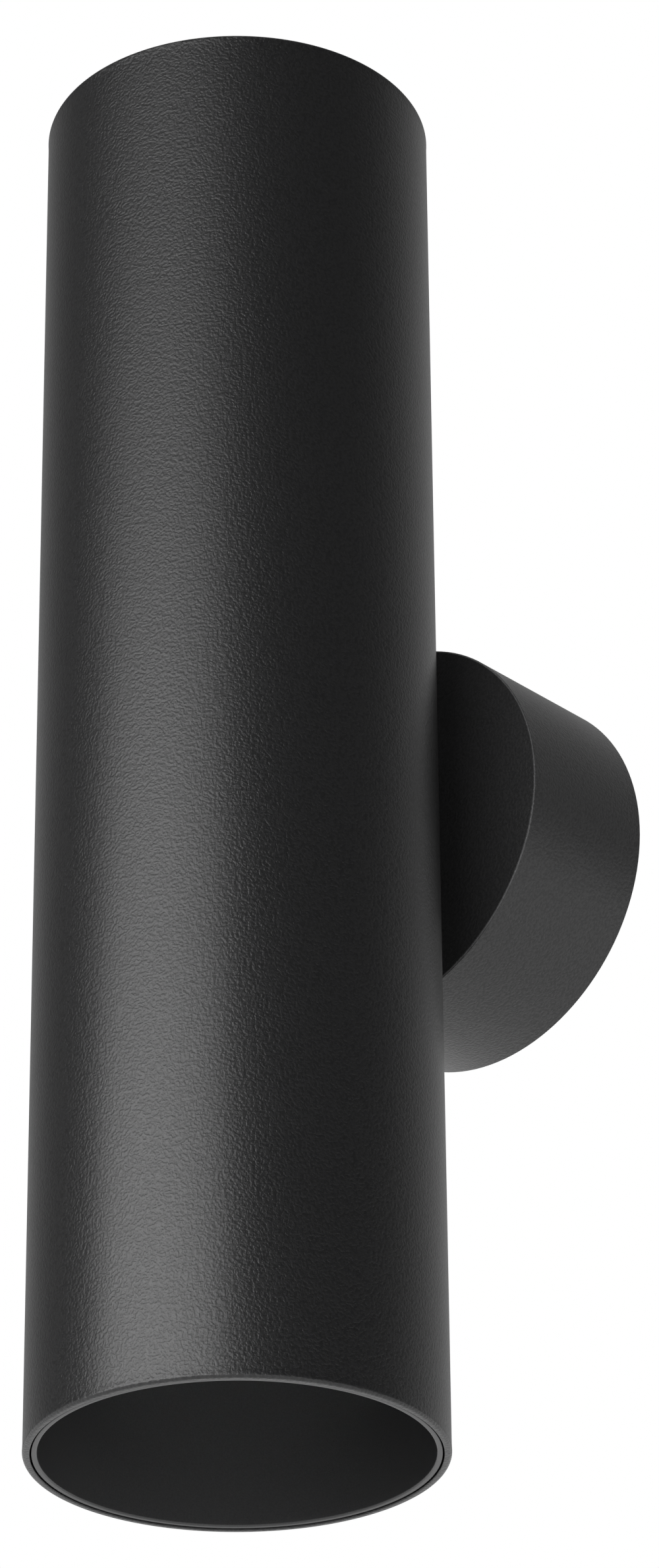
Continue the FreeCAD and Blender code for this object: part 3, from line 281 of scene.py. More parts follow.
class Finish(Nodes):
    """A material built round one surface shader, on the object's own coordinates."""

    def __init__(self, name, constants):
        self.material = bpy.data.materials.new(name)
        self.material.use_nodes = True
        super().__init__(self.material.node_tree)
        self.surface = self.node("ShaderNodeBsdfPrincipled", (), constants)
        self.shader = self.surface.socket.node
        self.node("ShaderNodeOutputMaterial", (), {"Surface": self.surface})
        self.place = self.node("ShaderNodeTexCoord", output="Object")

    def feed(self, name, signal):
        """Links a signal to one of the surface shader's sockets."""
        self.tree.links.new(signal.socket, self.shader.inputs[name])

    def cover(self, amount, layer):
        """Lays another shader over the surface, by an amount from 0 to 1."""
        mixed = self.node("ShaderNodeMixShader", (), {0: amount, 1: self.surface, 2: layer})
        self.tree.links.new(mixed.socket, self.tree.get_output_node("ALL").inputs["Surface"])

    def axes(self):
        """The place on the object as three numbers."""
        across = self.node("ShaderNodeSeparateXYZ", (), {"Vector": self.place})
        return across, across.also("Y"), across.also("Z")

    def noise(self, size, detail=2.0, roughness=0.5, stretch=None):
        """Soft noise from 0 to 1 whose grains are about as large as size, in metres."""
        where = self.place
        if stretch:
            where = self.node("ShaderNodeMapping", (), {"Vector": where, "Scale": stretch})
        return self.node("ShaderNodeTexNoise", (), {
            "Vector": where, "Scale": 1 / size, "Detail": detail, "Roughness": roughness})

    def cells(self, size):
        """A random number for each cell of a crystal pattern, from 0 to 1."""
        colour = self.node("ShaderNodeTexVoronoi", (), {
            "Vector": self.place, "Scale": 1 / size}, output="Color")
        return self.node("ShaderNodeSeparateColor", (), {"Color": colour})

    def fade(self, value, start, end, at_start=0.0, at_end=1.0):
        """Goes smoothly from at_start to at_end while value goes from start to end."""
        return self.node("ShaderNodeMapRange", {"interpolation_type": "SMOOTHSTEP"}, {
            "Value": value, "From Min": start, "From Max": end,
            "To Min": at_start, "To Max": at_end})

    def blend(self, amount, first, second):
        """The first colour where amount is 0, and the second where it is 1."""
        return self.node("ShaderNodeMix", {"data_type": "RGBA"},
                         {0: amount, 6: opaque(first), 7: opaque(second)}, output=2)

    def relief(self, height, depth):
        """Bumps as deep as depth, in metres, where height goes from 0 to 1."""
        self.feed("Normal", self.node("ShaderNodeBump", (), {
            "Height": height, "Distance": depth, "Strength": 1.0}))


def opaque(colour):
    """A colour as a socket takes it: three numbers get an alpha of 1."""
    return colour if isinstance(colour, Signal) else (*colour, 1.0)


# ---------------------------------------------------------------- finishes


def powder_coat(name, dark, light, gleam, edge, thin):
    """Black fine-texture powder coat: grain under half a millimetre across on a faint peel.
    Where thin gives 1, the coat shows the lighter edge colour: partly a coat drawn back from a sharp
    edge, partly a painted highlight along it.
    gleam is how strongly the coat mirrors between its grain tops, which mirror more."""
    finish = Finish(name, {"Specular IOR Level": gleam, "Coat Roughness": 0.31})
    grain = finish.noise(0.45 * MM, detail=2.0)
    peel = finish.noise(2.2 * MM, detail=1.0)
    drift = finish.noise(34 * MM, detail=1.0)
    sharp = finish.fade(grain, 0.3, 0.7)
    coat = finish.blend(sharp, dark, light)
    # The edge colour laid on by thin is partly a thinned coat, partly a painted highlight.
    finish.feed("Base Color", finish.blend(thin(finish) * (0.7 + 0.3 * sharp), coat, edge))
    finish.feed("Roughness", 0.31 + 0.05 * drift + 0.06 * grain)
    finish.feed("Coat Weight", 0.22 + 0.16 * sharp)
    finish.relief(0.95 * sharp + 0.05 * peel, 0.046 * MM)
    return finish.material


def tube_rim_thinning_and_highlight(finish):
    """A faint lighter band on the tube's two rims, gone within a millimetre of them: partly thinned
    coat, partly a painted highlight.
    """
    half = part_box("main_tube")[1].z
    height = finish.axes()[2]
    return 0.12 * finish.fade(half - abs(height), 0.15 * MM, 0.7 * MM, 1.0, 0.0)


def base_edge_thinning_and_highlight(finish):
    """1 along the middle of the narrow chamfer round the base's front, and 0 beside it: there the
    edge colour paints a highlight on the chamfer, as well as a thinned coat.
    """
    low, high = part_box("base_canopy")
    across, out, height = finish.axes()
    reach = (across ** 2.0 + height ** 2.0) ** 0.5
    inwards = high.x - reach
    behind = out - low.y
    on_edge = finish.fade(inwards + behind, 0.26 * MM, 0.31 * MM, 1.0, 0.0)
    return on_edge * finish.fade(abs(inwards - behind), 0.05 * MM, 0.15 * MM, 1.0, 0.0)


def sleeve_black(name, colours):
    """Dull black lacquer with a very fine tooth, so that little light comes back."""
    finish = Finish(name, {"Specular IOR Level": 0.6})
    tooth = finish.noise(0.22 * MM, detail=2.0)
    drift = finish.noise(11 * MM, detail=1.0)
    finish.feed("Base Color", finish.blend(tooth, colours.sleeve_dark, colours.sleeve_light))
    finish.feed("Roughness", 0.28 + 0.08 * drift)
    finish.relief(tooth, 0.006 * MM)
    return finish.material


def moulded(name, colour, worn, gloss, constants=()):
    """Moulded plastic: fine spark-eroded grain, and a slow drift towards the worn colour."""
    finish = Finish(name, dict(constants))
    grain = finish.noise(0.3 * MM, detail=2.0)
    drift = finish.noise(7 * MM, detail=2.0)
    finish.feed("Base Color", finish.blend(0.6 * drift, colour, worn))
    finish.feed("Roughness", gloss + 0.12 * grain)
    finish.relief(grain, 0.005 * MM)
    return finish.material


def zinc_sheet(name, colours):
    """Zinc-coated sheet steel: flakes a few millimetres across, with rolling marks."""
    finish = Finish(name, {"Metallic": 1.0})
    flake = finish.cells(3.2 * MM)
    rolled = finish.noise(0.6 * MM, detail=2.0, stretch=(1.0, 1.0, 0.06))
    finish.feed("Base Color", finish.blend(0.7 * flake + 0.3 * rolled,
                                           colours.zinc_dark, colours.zinc_light))
    finish.feed("Roughness", 0.26 + 0.1 * flake + 0.12 * rolled)
    finish.relief(0.4 * flake + 0.6 * rolled, 0.003 * MM)
    return finish.material


def plated_steel(name, colours):
    """Bright zinc plating with turning marks and handling scratches."""
    finish = Finish(name, {"Metallic": 1.0})
    bloom = finish.noise(2.4 * MM, detail=3.0)
    mark = finish.noise(0.35 * MM, detail=2.0, stretch=(1.0, 0.2, 1.0))
    finish.feed("Base Color", finish.blend(bloom, colours.zinc_dark, colours.zinc_light))
    finish.feed("Roughness", 0.17 + 0.16 * bloom + 0.1 * mark)
    finish.relief(mark, 0.004 * MM)
    return finish.material


def brass(name, colours):
    """Rolled brass that has begun to tarnish in patches."""
    finish = Finish(name, {"Metallic": 1.0})
    tarnish = finish.fade(finish.noise(2.0 * MM, detail=4.0, roughness=0.6), 0.35, 0.75)
    mark = finish.noise(0.3 * MM, detail=2.0, stretch=(1.0, 1.0, 0.15))
    finish.feed("Base Color", finish.blend(tarnish, colours.brass_bright, colours.brass_dull))
    finish.feed("Roughness", 0.2 + 0.22 * tarnish + 0.08 * mark)
    finish.relief(mark, 0.004 * MM)
    return finish.material


def black_oxide(name, colours):
    """Blackened steel with a screw thread along Z, drawn as a ripple of one pitch."""
    finish = Finish(name, {"Metallic": 0.85})
    height = finish.axes()[2]
    ripple = abs(finish.math("FRACT", height / (0.7 * MM)) - 0.5)
    oil = finish.noise(1.1 * MM, detail=3.0)
    finish.feed("Base Color", finish.blend(0.4 * oil, colours.oxide, colours.zinc_dark))
    finish.feed("Roughness", 0.32 + 0.2 * oil)
    finish.relief(1.7 * ripple + 0.15 * oil, 0.16 * MM)
    return finish.material


def glazed_ceramic(name, colours):
    """Off-white ceramic under a thin glaze, with scattered iron specks."""
    finish = Finish(name, {"Coat Roughness": 0.12, "Subsurface Weight": 0.05,
                           "Subsurface Scale": 0.5 * MM})
    speck = finish.fade(finish.noise(0.55 * MM, detail=1.0), 0.68, 0.78)
    cloud = finish.noise(4 * MM, detail=3.0)
    finish.feed("Base Color", finish.blend(0.7 * speck, colours.ceramic, colours.ceramic_speck))
    finish.feed("Roughness", 0.3 + 0.14 * cloud)
    finish.feed("Coat Weight", 0.35 + 0.35 * cloud)
    finish.relief(cloud, 0.02 * MM)
    return finish.material


def frosted_lens(name, colours):
    """Frosted lens: a milky pane that scatters light, etched fine."""
    finish = Finish(name, {"Transmission Weight": 0.15, "IOR": 1.49,
                           "Subsurface Weight": 0.3, "Subsurface Scale": 1.0 * MM})
    etch = finish.noise(0.18 * MM, detail=3.0)
    cloud = finish.noise(5 * MM, detail=1.0)
    finish.feed("Base Color", finish.blend(0.25 * cloud, colours.lens, colours.white))
    finish.feed("Roughness", 0.36 + 0.16 * etch)
    finish.relief(etch, 0.006 * MM)
    return finish.material


def lamp_board(name, colours, face, towards):
    """White lamp board whose raised chips, beyond the height of its face, are phosphor."""
    finish = Finish(name, {})
    height = finish.axes()[2]
    raised = finish.fade(towards * height, face + 0.1 * MM, face + 0.2 * MM)
    mask = finish.noise(0.5 * MM, detail=3.0)
    dust = finish.noise(3 * MM, detail=2.0)
    field = finish.blend(0.2 * mask, colours.board, colours.zinc_light)
    finish.feed("Base Color", finish.blend(raised, field, colours.phosphor))
    finish.feed("Roughness", 0.42 + 0.15 * dust)
    finish.relief(mask, 0.004 * MM)
    return finish.material


def rubber(name, colours):
    """Black rubber with a fine mould tooth and a pale bloom."""
    finish = Finish(name, {"Sheen Weight": 0.15, "Sheen Roughness": 0.5})
    tooth = finish.noise(0.25 * MM, detail=2.0)
    bloom = finish.fade(finish.noise(3 * MM, detail=4.0), 0.45, 0.8)
    finish.feed("Base Color", finish.blend(0.18 * bloom, colours.rubber, colours.nylon))
    finish.feed("Roughness", 0.66 + 0.14 * bloom)
    finish.relief(tooth, 0.008 * MM)
    return finish.material


def insulation(name, colour, worn):
    """Soft lead insulation, slightly waxy, with drawing lines along it."""
    finish = Finish(name, {})
    drawn = finish.noise(0.25 * MM, detail=1.0)
    cloud = finish.noise(3 * MM, detail=2.0)
    finish.feed("Base Color", finish.blend(0.25 * cloud, colour, worn))
    finish.feed("Roughness", 0.3 + 0.12 * cloud)
    finish.relief(drawn, 0.006 * MM)
    return finish.material


def striped_insulation(name, colours):
    """Earth insulation: yellow stripes that wind round a green lead."""
    finish = Finish(name, {})
    across, out, height = finish.axes()
    wound = finish.math("FRACT", (height + 1.3 * across + 0.7 * out) / (3.6 * MM))
    stripe = finish.fade(abs(wound - 0.5), 0.19, 0.22)
    cloud = finish.noise(2 * MM, detail=2.0)
    finish.feed("Base Color", finish.blend(stripe, colours.green, colours.yellow))
    finish.feed("Roughness", 0.3 + 0.14 * cloud)
    finish.relief(finish.noise(0.25 * MM), 0.005 * MM)
    return finish.material


# ---------------------------------------------------------------- surfaces


def rounded_section(inner, outer, low, high, rounds, stops):
    """Closed section of a ring, as radii and heights in order round it. Each corner is a
    quarter circle: centre + r * (arriving * sin t - leaving * cos t), for t from 0 to 90
    degrees. rounds goes (outer high, inner high, inner low, outer low), and stops are heights
    at which both long walls are divided."""
    up, down, inwards, outwards = (np.array(way, float) for way in
                                   ((0, 1), (0, -1), (-1, 0), (1, 0)))
    t = np.linspace(0, np.pi / 2, CORNER_POINTS)[:, None]

    def corner(radius, height, arriving, leaving, size):
        centre = np.array([radius, height]) - size * arriving + size * leaving
        return centre + size * (arriving * np.sin(t) - leaving * np.cos(t))

    def wall(radius, heights):
        return np.column_stack([np.full(len(heights), radius), heights])

    stops = np.sort(np.asarray(stops, float))
    points = np.vstack([
        wall(outer, stops),
        corner(outer, high, up, inwards, rounds[0]),
        corner(inner, high, inwards, down, rounds[1]),
        wall(inner, stops[::-1]),
        corner(inner, low, down, outwards, rounds[2]),
        corner(outer, low, outwards, up, rounds[3]),
    ])
    return points[:, 0], points[:, 1]


def grid_faces(rows, columns, closed=True):
    """Quads of a grid whose rows wrap round, and whose columns do too where it is closed."""
    i = np.arange(rows)[:, None]
    j = np.arange(columns if closed else columns - 1)[None, :]
    after_i = (i + 1) % rows
    after_j = (j + 1) % columns
    corners = np.broadcast_arrays(i * columns + j, after_i * columns + j,
                                  after_i * columns + after_j, i * columns + after_j)
    return np.stack(corners, axis=-1).reshape(-1, 4)


def round_z(angles, radii, heights, axis_y):
    """Points about an upright axis: (r sin a, axis_y + r cos a, h), so angle 0 faces the wall."""
    return np.stack(np.broadcast_arrays(radii * np.sin(angles),
                                        axis_y + radii * np.cos(angles), heights), axis=-1)


def add_piece(name, points, faces, body, finish, stands_for):
    """Makes a closed surface a smooth, outward-facing piece that rides on its CAD body and
    stands for its CAD node. Points that no face uses are dropped."""
    used = np.unique(np.concatenate([np.ravel(face) for face in faces]))
    places = np.full(len(points), -1)
    places[used] = np.arange(len(used))
    mesh = bpy.data.meshes.new(name)
    rows = [row for group in faces for row in places[group].tolist()]
    mesh.from_pydata(points[used].tolist(), [], rows)
    shell = bmesh.new()
    shell.from_mesh(mesh)
    bmesh.ops.recalc_face_normals(shell, faces=shell.faces)
    loose = [edge for edge in shell.edges if len(edge.link_faces) != 2]
    shell.to_mesh(mesh)
    shell.free()
    if loose:
        raise RuntimeError(f"{name} isn't closed: {len(loose)} edges lack a second face")
    mesh.shade_smooth()
    mesh.set_sharp_from_angle(angle=math.radians(40))
    mesh.materials.append(finish)
    piece = bpy.data.objects.new(name, mesh)
    bpy.context.scene.collection.objects.link(piece)
    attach(piece, body)
    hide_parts(stands_for)
    return piece


def dress(names, finish):
    """Gives CAD parts their finish, in their own objects' material slots."""
    for name in names:
        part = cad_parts[name]
        if not part.material_slots:
            part.data.materials.append(finish)
        for place in part.material_slots:
            place.link = "OBJECT"
            place.material = finish


def axis_of(name):
    """Y of the upright axis through the middle of a CAD part."""
    low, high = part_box(name)
    return (low.y + high.y) / 2


def tube_surface(shape):
    """The tube: a rounded section carried round an upright axis, with a hole in its back.

    The wall swells at the rims: r = R - bead * (1 - exp(-(d / width)^2)), where d is the
    distance to the rim. Round the hole the grid's squares are pulled into circles: a point of
    square ring k lies between the hole's circle, at the same angle, and its own square, by
    (k - first) / (last - first)."""
    first, last = 6, 12
    rim_zone, rim_end = 4 * MM, 0.7 * MM
    on_line, no_line = 1e-7, 1e6
    low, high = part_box("main_tube")
    radius = high.x - shape.skin
    half = high.z
    angle = 2 * np.pi / TUBE_STEPS
    pitch = radius * angle
    near = pitch * np.arange(-last, last + 1)
    middle = np.linspace(near[-1], half - rim_zone, 26)[1:]
    rim = np.linspace(half - rim_zone, half - rim_end, 14)[1:]
    far = np.concatenate([middle, rim])
    rounds = (shape.outer_round, shape.inner_round, shape.inner_round, shape.outer_round)
    radii, heights = rounded_section(high.x - shape.wall, radius, -half, half, rounds,
                                     np.concatenate([-far, near, far]))
    outside = radii > high.x - shape.wall / 2
    to_rim = half - np.abs(heights)
    swell = 1 - np.exp(-(to_rim / shape.bead_width) ** 2)
    radii = np.where(outside, radii - shape.bead_height * swell, radii)

    across = (np.arange(TUBE_STEPS) + TUBE_STEPS // 2) % TUBE_STEPS - TUBE_STEPS // 2
    along = np.round(heights / pitch)
    on_lines = (np.abs(heights - along * pitch) < on_line) & (np.abs(along) <= last)
    across, along = np.meshgrid(across.astype(float), np.where(on_lines, along, no_line),
                                indexing="ij")
    ring = np.maximum(np.abs(across), np.abs(along))
    inside = ring <= last
    pull = np.clip((ring - first) / (last - first), 0, 1)
    bearing = np.arctan2(along, across)
    hole = shape.nipple_hole / pitch
    new_across = np.where(inside, (1 - pull) * hole * np.cos(bearing) + pull * across, across)
    new_along = np.where(inside, (1 - pull) * hole * np.sin(bearing) + pull * along, along)
    high_grid = np.where(inside, new_along * pitch, heights[None, :])
    points = round_z(new_across * angle, radii[None, :], high_grid, axis_of("main_tube"))
    points = points.reshape(-1, 3)

    quads = grid_faces(TUBE_STEPS, len(radii))
    quads = quads[ring.ravel()[quads].max(axis=1) > first]
    edges = []
    for side in (outside, ~outside):
        edge = np.flatnonzero((ring == first) & side[None, :])
        edges.append(edge[np.argsort(bearing.ravel()[edge])])
    outer, inner = edges
    bridge = np.column_stack([outer, np.roll(outer, -1), np.roll(inner, -1), inner])
    return points, [quads, bridge]


def sleeve_surface(shape, node, mouth):
    """A thin sleeve: its rounded section carried round the tube's axis."""
    low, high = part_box(node)
    outer = round_radius(node)
    small, margin = 0.12 * MM, 1 * MM
    rounds = [small] * 4
    rounds[1 if mouth > 0 else 2] = shape.sleeve_round
    stops = np.linspace(low.z + margin, high.z - margin, 12)
    radii, heights = rounded_section(outer - shape.sleeve_wall, outer, low.z, high.z, rounds,
                                     stops)
    angles = 2 * np.pi * np.arange(TUBE_STEPS)[:, None] / TUBE_STEPS
    points = round_z(angles, radii[None, :], heights[None, :], axis_of("main_tube"))
    return points.reshape(-1, 3), [grid_faces(TUBE_STEPS, len(radii))]


def round_radius(node):
    """Radius of a round CAD part about the tube's axis: the distance from the axis that only
    one in a hundred of its points passes."""
    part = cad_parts[node].data
    flat = np.empty(3 * len(part.vertices), np.float32)
    part.vertices.foreach_get("co", flat)
    places = flat.reshape(-1, 3)
    reach = np.hypot(places[:, 0], places[:, 1] - axis_of("main_tube"))
    return float(np.percentile(reach, 99))


def lens_surface(shape, node, front):
    """A lens: a profile from the axis to the rim and back, carried round the axis. Its front
    has fine rings: h = top - depth * (1 - cos(2 pi r / pitch)) / 2."""
    smooth_edge = 2 * MM
    low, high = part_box(node)
    rim = (high.x - low.x) / 2
    thick = high.z - low.z
    round_size = shape.lens_round
    back = np.column_stack([np.linspace(0, rim, 12), np.zeros(12)])
    t = np.linspace(0, np.pi / 2, CORNER_POINTS)
    edge = np.column_stack([rim - round_size * (1 - np.cos(t)),
                            thick - round_size * (1 - np.sin(t))])
    out = np.linspace(rim - round_size, 0, 150)[1:]
    fade = np.clip((rim - round_size - out) / smooth_edge, 0, 1)
    rings = shape.rib_depth * fade * (1 - np.cos(2 * np.pi * out / shape.rib_pitch)) / 2
    profile = np.vstack([back, edge, np.column_stack([out, thick - rings])])
    heights = low.z + profile[:, 1] if front > 0 else high.z - profile[:, 1]
    radii = profile[:, 0]
    angles = 2 * np.pi * np.arange(LENS_STEPS)[:, None] / LENS_STEPS
    body = round_z(angles, radii[None, 1:-1], heights[None, 1:-1], axis_of("main_tube"))
    columns = len(radii) - 2
    poles = round_z(np.zeros(2), np.zeros(2), heights[[0, -1]], axis_of("main_tube"))
    points = np.vstack([body.reshape(-1, 3), poles])
    here = np.arange(LENS_STEPS) * columns
    after = np.roll(here, -1)
    first_pole = np.full(LENS_STEPS, LENS_STEPS * columns)
    first_fan = np.column_stack([first_pole, after, here])
    last_fan = np.column_stack([first_pole + 1, here + columns - 1, after + columns - 1])
    return points, [grid_faces(LENS_STEPS, columns, closed=False), first_fan, last_fan]


def nipple_surface(shape):
    """The threaded nipple, about a line along Y: the outer wall's radius follows a helix,
    r = R - depth * |2 * fraction(y / pitch - a / (2 pi)) - 1|, and the depth fades out at
    both ends."""
    chamfer, run_out, stops_per_turn = 0.3 * MM, 0.8 * MM, 8
    outside = 0.35 * MM
    low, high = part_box("hollow_nipple")
    outer = high.x
    inner = outer - shape.nipple_wall
    stops = np.arange(low.y + 0.5 * MM, high.y - 0.4 * MM, shape.thread_pitch / stops_per_turn)
    radii, heights = rounded_section(inner, outer, low.y, high.y, [chamfer] * 4, stops)
    angles = 2 * np.pi * np.arange(NIPPLE_STEPS)[:, None] / NIPPLE_STEPS
    phase = (heights[None, :] / shape.thread_pitch - angles / (2 * np.pi)) % 1.0
    groove = shape.thread_depth * np.abs(2 * phase - 1)
    to_end = np.minimum(heights - low.y, high.y - heights)
    groove = groove * np.clip(to_end / run_out, 0, 1)[None, :]
    walls = np.where(radii[None, :] > outer - outside, radii[None, :] - groove,
                     radii[None, :])
    along = np.broadcast_to(heights[None, :], walls.shape)
    points = np.stack([walls * np.sin(angles), along, walls * np.cos(angles)], axis=-1)
    return points.reshape(-1, 3), [grid_faces(NIPPLE_STEPS, len(radii))]


def bowl_surface(radius, turns, rises):
    """Part of a sphere seen from inside: (r sin a cos e, -r cos a cos e, r sin e), with the
    turn a and the rise e in radians."""
    a, e = np.meshgrid(np.linspace(*turns, SCREEN_COLUMNS), np.linspace(*rises, SCREEN_ROWS),
                       indexing="ij")
    points = radius * np.stack([np.sin(a) * np.cos(e), -np.cos(a) * np.cos(e), np.sin(e)],
                               axis=-1)
    i, j = np.meshgrid(np.arange(SCREEN_COLUMNS - 1), np.arange(SCREEN_ROWS - 1),
                       indexing="ij")
    start = (i * SCREEN_ROWS + j).ravel()
    beside = start + SCREEN_ROWS
    quads = np.column_stack([start, beside, beside + 1, start + 1])
    return points.reshape(-1, 3), quads


# ---------------------------------------------------------------- operators


class TUBELIGHT_OT_studio(Operator):
    """Set the camera, the soft light, the floor and the white surroundings"""

    bl_idname = "tubelight.studio"
    bl_label = "Studio"

    def execute(self, context):
        studio = context.scene.tube_light_studio
        context.scene.view_settings.view_transform = "Standard"
        self.set_camera(context, studio)
        self.set_world(context, studio)
        self.set_floor(context, studio)
        self.set_lights(context, studio)
        self.set_screen(context, studio)
        return {"FINISHED"}

    def set_camera(self, context, studio):
        """The camera looks along (-sin b cos e, cos b cos e, sin e), rolled about that line."""
        b, e, roll = studio.camera_turn, studio.camera_rise, studio.camera_roll
        ahead = Vector((-math.sin(b) * math.cos(e), math.cos(b) * math.cos(e), math.sin(e)))
        level = Vector((math.cos(b), math.sin(b), 0))
        upright = level.cross(ahead)
        right = math.cos(roll) * level + math.sin(roll) * upright
        above = -math.sin(roll) * level + math.cos(roll) * upright
        data = bpy.data.cameras.new("camera")
        data.lens = studio.focal_length
        data.sensor_fit = "AUTO"
        data.sensor_width = 36.0
        data.clip_start = 0.01
        data.clip_end = 50.0
        camera = bpy.data.objects.new("camera", data)
        turned = Matrix((right, above, -ahead)).transposed().to_4x4()
        camera.matrix_world = Matrix.Translation(studio.camera_place) @ turned
        context.scene.collection.objects.link(camera)
        context.scene.camera = camera

    def set_world(self, context, studio):
        """White for the camera and in reflections, and a soft fill on dull surfaces."""
        world = bpy.data.worlds.new("studio_air")
        world.use_nodes = True
        nodes = Nodes(world.node_tree)
        strength = studio.fill + (1 - studio.fill) * nodes.seen()
        air = nodes.node("ShaderNodeBackground", (), {
            "Color": (1.0, 1.0, 1.0, 1.0), "Strength": strength})
        nodes.node("ShaderNodeOutputWorld", (), {"Surface": air})
        context.scene.world = world

    def set_floor(self, context, studio):
        """A plain pale floor far below the light, lifted towards white for the camera."""
        finish = Finish("floor_paint", {"Specular IOR Level": 0.1})
        cloud = finish.noise(0.6, detail=2.0)
        tone = studio.floor_tone
        finish.feed("Base Color", finish.blend(0.3 * cloud, tone, [0.97 * part for part in tone]))
        finish.feed("Roughness", 0.8 + 0.1 * cloud)
        glow = finish.node("ShaderNodeEmission", (), {"Color": (1.0, 1.0, 1.0, 1.0)})
        finish.cover(studio.floor_lift * finish.seen(), glow)
        corners = studio.floor_reach * np.array(
            [(-1, -1, 0), (1, -1, 0), (1, 1, 0), (-1, 1, 0)], float)
        mesh = bpy.data.meshes.new("floor")
        mesh.from_pydata((corners + [0, 0, studio.floor_level]).tolist(), [], [(0, 1, 2, 3)])
        mesh.materials.append(finish.material)
        floor = bpy.data.objects.new("floor", mesh)
        context.scene.collection.objects.link(floor)

    def set_lights(self, context, studio):
        """A wide soft light in front, to the left of the camera, and a dimmer one on the
        right that no reflection shows."""
        self.add_lamp(context, studio, "key_light", studio.key_turn, studio.key_rise,
                      (studio.key_width, studio.key_height), studio.key_power)
        side = self.add_lamp(context, studio, "side_light", studio.side_turn,
                             studio.side_rise, (studio.side_size, studio.side_size),
                             studio.side_power)
        side.visible_glossy = False

    def add_lamp(self, context, studio, name, a, e, size, power):
        """An area lamp that faces the tube's middle from (sin a cos e, -cos a cos e, sin e)."""
        away = Vector((math.sin(a) * math.cos(e), -math.cos(a) * math.cos(e), math.sin(e)))
        data = bpy.data.lights.new(name, "AREA")
        data.shape = "RECTANGLE"
        data.size, data.size_y = size
        data.energy = power
        lamp = bpy.data.objects.new(name, data)
        lamp.location = Vector((0, axis_of("main_tube"), 0)) + studio.lamp_distance * away
        lamp.rotation_mode = "QUATERNION"
        lamp.rotation_quaternion = away.to_track_quat("Z", "Y")
        lamp.visible_camera = False
        context.scene.collection.objects.link(lamp)
        return lamp

    def set_screen(self, context, studio):
        """A grey screen all round, which only reflections see, as in a studio tent. Its cloth
        thins towards the back and at its lower hem, so that no reflection has a hard edge."""
        finish = Finish("screen_cloth", {"Specular IOR Level": 0.0})
        weave = finish.noise(0.02, detail=2.0)
        finish.feed("Base Color", finish.blend(weave, studio.cloth_dark, studio.cloth_light))
        across, out, height = finish.axes()
        towards = math.sin(studio.thin_turn) * across - math.cos(studio.thin_turn) * out
        thin = studio.thin_clear * finish.fade(towards, 0.0, studio.screen_radius)
        hem = finish.fade(height, studio.hem_bottom, studio.hem_top, 1.0, 0.0)
        clear = finish.node("ShaderNodeBsdfTransparent")
        finish.cover(finish.math("MINIMUM", hem + thin, 1.0), clear)
        points, quads = bowl_surface(studio.screen_radius, (-math.pi, math.pi),
                                     (studio.screen_foot, studio.screen_head))
        mesh = bpy.data.meshes.new("grey_screen")
        mesh.from_pydata(points.tolist(), [], quads.tolist())
        mesh.materials.append(finish.material)
        screen = bpy.data.objects.new("grey_screen", mesh)
        screen.visible_camera = False
        screen.visible_diffuse = False
        screen.visible_transmission = False
        screen.visible_shadow = False
        context.scene.collection.objects.link(screen)


class TUBELIGHT_OT_tube(Operator):
    """Draw the outer tube with its swollen rims, and coat it"""

    bl_idname = "tubelight.tube"
    bl_label = "Outer tube"

    def execute(self, context):
        colours = context.scene.tube_light_colours
        finish = powder_coat("tube_coat", colours.coat_dark, colours.coat_light, 0.42,
                             colours.edge, tube_rim_thinning_and_highlight)
        points, faces = tube_surface(context.scene.tube_light_shape)
        add_piece("tube_shell", points, faces, "head", finish, "main_tube")
        return {"FINISHED"}


class TUBELIGHT_OT_base(Operator):
    """Coat the round base in a lighter copy of the tube's black coat, which paints in fill light"""

    bl_idname = "tubelight.base"
    bl_label = "Round base"

    def execute(self, context):
        colours = context.scene.tube_light_colours
        # The base's coat colours are painted fill light: the same black coat as the tube's,
        # lightened.
        finish = powder_coat("base_coat", colours.base_dark_painted_fill, colours.base_light_painted_fill, 0.3,
                             colours.edge, base_edge_thinning_and_highlight)
        dress(["base_canopy"], finish)
        return {"FINISHED"}


class TUBELIGHT_OT_sleeves(Operator):
    """Draw the two anti-glare sleeves and blacken them"""

    bl_idname = "tubelight.sleeves"
    bl_label = "Anti-glare sleeves"

    def execute(self, context):
        shape = context.scene.tube_light_shape
        finish = sleeve_black("sleeve_black", context.scene.tube_light_colours)
        for end, mouth in (("upper", 1), ("lower", -1)):
            node = f"{end}_glare_sleeve"
            points, faces = sleeve_surface(shape, node, mouth)
            add_piece(f"{end}_sleeve_ring", points, faces, f"{end}_sleeve",
                      finish, node)
        return {"FINISHED"}


class TUBELIGHT_OT_saddles(Operator):
    """Finish the two moulded saddles between tube, base and bracket"""

    bl_idname = "tubelight.saddles"
    bl_label = "Saddles"

    def execute(self, context):
        colours = context.scene.tube_light_colours
        finish = moulded("saddle_black", colours.coat_dark, colours.coat_light, 0.42)
        dress(["outer_saddle", "inner_saddle"], finish)
        return {"FINISHED"}


class TUBELIGHT_OT_nipple(Operator):
    """Cut the nipple's thread, and plate it with its nuts and washers"""

    bl_idname = "tubelight.nipple"
    bl_label = "Nipple, nuts and washers"

    def execute(self, context):
        finish = plated_steel("nipple_zinc", context.scene.tube_light_colours)
        points, faces = nipple_surface(context.scene.tube_light_shape)
        add_piece("threaded_nipple", points, faces, "head", finish,
                  "hollow_nipple")
        dress(["nipple_nuts", "nipple_washers"], finish)
        return {"FINISHED"}


class TUBELIGHT_OT_sheet_steel(Operator):
    """Zinc-coat the wall plate and the lamp bracket"""

    bl_idname = "tubelight.sheet_steel"
    bl_label = "Wall plate and bracket"

    def execute(self, context):
        finish = zinc_sheet("zinc_steel", context.scene.tube_light_colours)
        dress(["wall_plate", "lamp_bracket"], finish)
        return {"FINISHED"}


